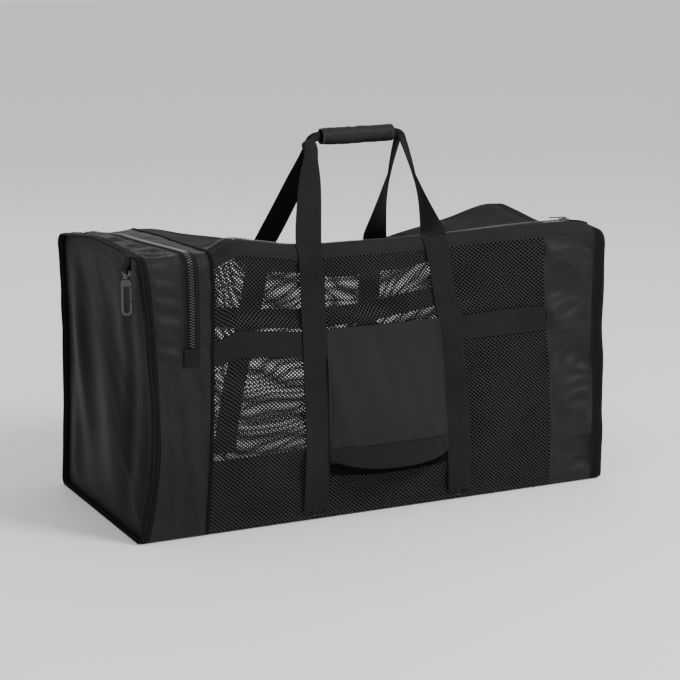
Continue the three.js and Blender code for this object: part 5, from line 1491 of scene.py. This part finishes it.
    def carry_strap(self, name: str, wall: Wall, node: str) -> bpy.types.Object:
        """Makes one whole carry strap, from floor seam to floor seam.

        Args:
            name: The piece's name.
            wall: The wall it lies on.
            node: The CAD node it stands for.

        Returns:
            The piece's object.
        """
        facing = -wall.value
        grip = np.array([GRIP_SHIFT, 0, BODY.cloth / 2 + BODY.height + GRIP_RISE])
        if wall is Wall.FRONT:
            runs = np.linspace(BODY.front_at(STRAP_START), BODY.front_crest, self.wall_rows)
        else:
            runs = np.linspace(BODY.back_at(STRAP_START), BODY.back_crest, self.wall_rows)
        halves = []
        for side, sign in (("left", 1.0), ("right", -1.0)):
            across = sign * facing
            loops = self.wall_part(side, runs, across)
            x = strap_line(side, runs[-2:])
            middle = BODY.skin(x, runs[-2:], self.lift(runs[-2:]))
            outward = BODY.axes(x[-1:], runs[-1:])[2][0]
            end = grip + np.array([-sign * (GRIP_LENGTH / 2 + 1), -facing * FOLDED_WEBBING / 2, 0])
            leg = self.leg_part(middle[1], unit(middle[1] - middle[0]), outward, end, facing, sign)
            halves.append(np.concatenate([loops, leg]))
        loops = np.concatenate([halves[0], halves[1][::-1]])
        count, around = loops.shape[:2]
        faces = loop_quads(count, around).tolist() + loop_caps(count, around)
        along = np.repeat(distances(loops.mean(1))[:, None], around, 1)
        c, _ = self.profile()
        wide = np.linalg.norm(loops[:, 0] - loops[:, around // 2], axis=1) / 2
        cloth = np.stack([c[None, :] * wide[:, None], along], -1)
        seam = np.stack([wide[:, None] * (1 - np.abs(c[None, :])), along], -1)
        return self.maker.piece(name, loops.reshape(-1, 3), faces, "webbing",
                                cloth.reshape(-1, 2), seam.reshape(-1, 2), nodes=[node], sharp=70)

    def grip(self) -> bpy.types.Object:
        """Makes the padded wrap round both straps.

        A loop of places along x, out over the pad, round its lip and back inside, is carried round an
        oval. The pad swells a little between its ends and has a seam along its underside.

        Returns:
            The piece's object.
        """
        half, round_off = GRIP_LENGTH / 2, self.pad_lip
        wide, tall = FOLDED_WEBBING * 1.9 + GRIP_WALL, FOLDED_TALL * 1.28 + GRIP_WALL
        lip = np.linspace(-math.pi / 2, math.pi / 2, 9)
        out_x = np.linspace(-half + round_off, half - round_off, self.pad_rows)
        path_x = np.concatenate([out_x, half - round_off + round_off * np.cos(lip[::-1]), out_x[::-1],
                                 -half + round_off - round_off * np.cos(lip)])
        depth = np.concatenate([np.zeros(self.pad_rows), round_off - round_off * np.sin(lip[::-1]),
                                np.full(self.pad_rows, GRIP_WALL), round_off - round_off * np.sin(lip)])
        around = self.pad_around
        turn = np.linspace(0, 2 * math.pi, around, endpoint=False)
        c, s = loop_profile(around, 0.9, 0.9)
        x = np.repeat(path_x[:, None], around, 1)
        inside = depth[:, None] / GRIP_WALL
        left_end = hump((x + half) / self.pad_end)
        wrinkle = (0.5 * ripple(x, turn[None, :] * self.pad_radius, 40.0, 61)
                   - (0.4 + 0.9 * left_end) * np.abs(ripple(x, turn[None, :] * 9, 17.0, 62)))
        swell = (0.6 - 0.9 * np.abs(x / half) ** 8 + wrinkle) * (1 - inside)
        seam_dip = -self.pad_seam * hump((turn[None, :] - 1.5 * math.pi) / 0.12) * (1 - inside)
        y = c[None, :] * (wide - depth[:, None] + swell + seam_dip)
        z = s[None, :] * (tall - depth[:, None] + swell + seam_dip)
        middle = np.array([GRIP_SHIFT, 0, BODY.cloth / 2 + BODY.height + GRIP_RISE])
        points = np.stack([x, y, z], -1) + middle
        rows = len(path_x)
        faces = loop_quads(rows, around, closed=True)
        cloth = np.stack([x, np.repeat(turn[None, :] * self.pad_radius, rows, 0)], -1).reshape(-1, 2)
        pad = self.maker.piece("grip_pad", points.reshape(-1, 3), faces[:, ::-1].tolist(), "grip", cloth,
                               cloth, nodes=["grip_wrap"], sharp=180)
        return pad

    def build(self) -> None:
        """Makes the belts, the carry straps and the grip."""
        gap = BODY.seam_gap
        edges = (BELT_HEIGHT - BELT_WIDE / 2, BELT_HEIGHT + BELT_WIDE / 2)
        right = beside(right_band_line, -gap)
        for wall, run_of in ((Wall.FRONT, BODY.front_at), (Wall.BACK, BODY.back_at)):
            low, high = sorted(run_of(edge) for edge in edges)
            side = wall.name.lower()
            self.maker.panel(f"belt_{side}_webbing", BODY_LEFT, right, low, high, "webbing", BELT_THICK,
                             lift=OVER_CLOTH + BELT_THICK / 2, step=3.0, edge=Edge.LONG_X,
                             nodes=[f"belt_{side}"])
        self.carry_strap("carry_strap_front", Wall.FRONT, "handle_front")
        self.carry_strap("carry_strap_back", Wall.BACK, "handle_back")
        self.grip()


@dataclass
class FrontPocket:
    """The flat pocket on the front, open at the bottom, with its ribbed hem."""

    maker: Maker
    hem_bow: float = 13.0
    mouth_bow: float = 8.0
    mouth_below: float = 15.0
    mouth_above: float = 7.0
    # The thickness of the dark strip that paints the shade in the pocket's mouth.
    shade_sheet: float = 0.5

    @staticmethod
    def pucker(x: Array, run: Array) -> Array:
        """The small folds of the panel along the seam of its hem, and two soft ones from its top corner."""
        up = run - BODY.front_at(PATCH_BOTTOM)
        soft = 1.3 * ripple(x + 0.35 * run, run * 0.2, 46.0, 72) * hump((up - 95) / 90)
        return 0.8 * ripple(x, run * 0.3, 11.0, 71) * hump(up / 18) + soft

    @staticmethod
    def depth(x: Array, run: Array) -> Array:
        """How far the pocket's middle lies over the skin: it bellies out between its sewn sides."""
        left, right = strap_edge("left", 1)(run), strap_edge("right", -1)(run)
        free = 1 - (2 * (x - left) / (right - left) - 1) ** 4
        z = BODY.section(run)[1]
        sag = ease((PATCH_TOP - z) / (PATCH_TOP - PATCH_BOTTOM))
        belly = ease((PATCH_BOTTOM - z) / HEM_TALL)
        seat = OVER_CLOTH + BELT_THICK + BODY.seam_gap + BODY.cloth / 2
        return seat + free * (PATCH_RISE * sag + HEM_RISE * belly)

    @staticmethod
    def bow(rise: float) -> Line:
        """Gives an edge that is lowest a little right of its middle and bends up by about `rise`."""
        return lambda share: rise * np.abs(2 * share - 1.1) ** 2.2

    def build(self) -> None:
        """Makes the panel, the hem and, under the hem, a dark strip that is a painted shade for the pocket's
        mouth.
        """
        left, right = beside(strap_edge("left", 1), -TUCK), beside(strap_edge("right", -1), TUCK)
        low, high = BODY.front_at(PATCH_BOTTOM - HEM_TALL), BODY.front_at(PATCH_BOTTOM)
        self.maker.panel("pocket_cloth", left, right, high + BODY.seam_gap, BODY.front_at(PATCH_TOP),
                         "patch", BODY.cloth, lift=self.depth, step=3.5, ruffle=self.pucker, settle=2.0,
                         nodes=["front_pocket"], slot="nylon")
        self.maker.panel("pocket_hem", left, right, low, high, "hem", HEM_THICK,
                         lift=lambda x, run: self.depth(x, run) + (HEM_THICK - BODY.cloth) / 2, step=2.4,
                         start=self.bow(self.hem_bow), edge=Edge.LONG_X,
                         nodes=["front_pocket_hem"], slot="ribbed_band")
        # A dark strip under the hem: a painted shade where the pocket's mouth lies in shadow.
        self.maker.panel("pocket_mouth_shade", left, right, low - self.mouth_below, low + self.mouth_above,
                         "shade_sheet", self.shade_sheet, lift=OVER_CLOTH + BODY.seam_gap, step=3.0,
                         edge=Edge.LONG_X, slot="nylon", start=self.bow(self.mouth_bow),
                         nodes=["front_pocket_hem"])


@dataclass
class SnapHook:
    """The swivel hook, which keeps its CAD shapes, and the folded webbing that holds it."""

    maker: Maker
    bar_gap: float = 1.5
    rear_top: float = 0.6
    end_from: float = 0.68

    def loop(self) -> None:
        """Makes the webbing: down from the bound seam, round the eye's bar and up again behind itself."""
        low, high = (np.array(corner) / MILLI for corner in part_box("hook_loop"))
        half, deep = (high[0] - low[0]) / 2, high[1] - low[1]
        centre = np.array([(high[0] + low[0]) / 2, (high[1] + low[1]) / 2, low[2] + half])
        top, ply = high[2] - centre[2], HOOK_WEBBING_THICK
        turn = np.linspace(0, -math.pi, 22)
        bend = np.stack([np.cos(turn), np.sin(turn)], -1) * (half - ply / 2)
        front = np.stack([np.full(8, half - ply / 2), np.linspace(top, self.bar_gap, 8)], -1)
        share = np.linspace(0.05, 1, 12)
        rear = np.stack([mix(-half + ply / 2, half - 1.5 * ply, ease(share)),
                         mix(0.0, top * self.rear_top, share)], -1)
        end = np.stack([np.full(5, half - 1.5 * ply), np.linspace(top * self.end_from, top, 5)], -1)
        path = np.vstack([front, bend, rear, end])
        way = unit(np.gradient(path, axis=0))
        side = np.stack([-way[:, 1], way[:, 0]], -1)
        c, s = Straps.profile()
        flat = path[:, None] + side[:, None] * (s[None, :] * ply / 2)[..., None]
        y = np.repeat((c * deep / 2)[None, :], len(path), 0)
        points = np.stack([flat[..., 0], y, flat[..., 1]], -1) + centre
        count, around = y.shape
        faces = loop_quads(count, around)[:, [0, 3, 2, 1]].tolist()
        faces += [cap[::-1] for cap in loop_caps(count, around)]
        along = np.repeat(distances(path)[:, None], around, 1)
        cloth = np.stack([y, along], -1).reshape(-1, 2)
        seam = np.stack([deep / 2 - np.abs(y), along], -1).reshape(-1, 2)
        self.maker.piece("hook_webbing", points.reshape(-1, 3), faces, "webbing", cloth, seam,
                         nodes=["hook_loop"], sharp=70)

    def build(self) -> None:
        """Makes the webbing and dresses the hook's nodes."""
        self.loop()
        for node, finish in (("hook_eye", "hook"), ("hook_body", "hook"), ("hook_pin", "metal"),
                             ("hook_gate", "hook")):
            self.maker.finishes.wear_on_node(node, finish)


@dataclass(frozen=True)
class Lamp:
    """One soft square light: its name, its place, the length of its side and its power."""

    name: str
    place: tuple[float, float, float]
    size: float
    power: float

    def build(self) -> None:
        """Makes the light and turns it to the bag."""
        light = bpy.data.lights.new(self.name, "AREA")
        light.size = self.size
        light.energy = self.power
        lamp = bpy.data.objects.new(self.name, light)
        lamp.location = self.place
        aim = np.array([0, 0, 0.22]) - np.array(self.place)
        flat = math.hypot(aim[0], aim[1])
        lamp.rotation_euler = (math.atan2(flat, -aim[2]), 0, math.atan2(-aim[0], aim[1]))
        bpy.context.scene.collection.objects.link(lamp)


@dataclass
class Studio:
    """The pale floor, the soft lights and the camera."""

    camera_at: tuple[float, float, float] = (-1.2705, -2.6225, 0.864)
    yaw: float = 25.96
    pitch: float = 12.46
    lens: float = 105.46
    floor_reach: float = 14.0
    sky_power: float = 0.85
    lamps: tuple[Lamp, ...] = (Lamp("key", (1.3, -2.0, 2.3), 0.8, 84),
                               Lamp("fill", (-2.4, -1.0, 1.2), 1.2, 5),
                               Lamp("rim", (0.2, 2.4, 2.0), 1.2, 12))

    def set_camera(self, scene: bpy.types.Scene) -> None:
        """Puts the camera in the photo's place."""
        camera = bpy.data.objects.new("camera", bpy.data.cameras.new("camera"))
        camera.location = self.camera_at
        camera.rotation_euler = (math.radians(90 - self.pitch), 0, math.radians(-self.yaw))
        camera.data.lens = self.lens
        camera.data.sensor_width = 36
        camera.data.clip_end = 50
        scene.collection.objects.link(camera)
        scene.camera = camera

    def set_floor(self, scene: bpy.types.Scene) -> None:
        """Lays the pale floor, which belongs to the stage and not to the bag."""
        floor_mesh = bpy.data.meshes.new("floor")
        reach = self.floor_reach
        corners = [(-reach, -reach, 0), (reach, -reach, 0), (reach, reach, 0), (-reach, reach, 0)]
        floor_mesh.from_pydata(corners, [], [(0, 1, 2, 3)])
        floor = bpy.data.objects.new("floor", floor_mesh)
        pale = bpy.data.materials.new("pale_floor")
        pale.use_nodes = True
        shader = pale.node_tree.nodes["Principled BSDF"]
        shader.inputs["Base Color"].default_value = (0.9, 0.9, 0.9, 1)
        shader.inputs["Roughness"].default_value = 0.9
        floor_mesh.materials.append(pale)
        scene.collection.objects.link(floor)

    def build(self) -> None:
        """Sets up the camera, the floor and the lights."""
        scene = bpy.context.scene
        self.set_camera(scene)
        self.set_floor(scene)
        world = bpy.data.worlds.new("studio")
        world.use_nodes = True
        sky = world.node_tree.nodes["Background"]
        sky.inputs[0].default_value = (1, 1, 1, 1)
        sky.inputs[1].default_value = self.sky_power
        scene.world = world
        for lamp in self.lamps:
            lamp.build()


def main() -> None:
    """Builds the studio and every sub-assembly in order."""
    logging.basicConfig(level=logging.INFO, format="%(name)s: %(message)s")
    Studio().build()
    maker = Maker(Finishes(Effects()))
    for part in (NylonShell(maker), Bindings(maker), NetWalls(maker), Zips(maker), Straps(maker),
                 FrontPocket(maker), SnapHook(maker)):
        part.build()
        log.info("%s is built", type(part).__name__)


if __name__ == "__main__":
    main()
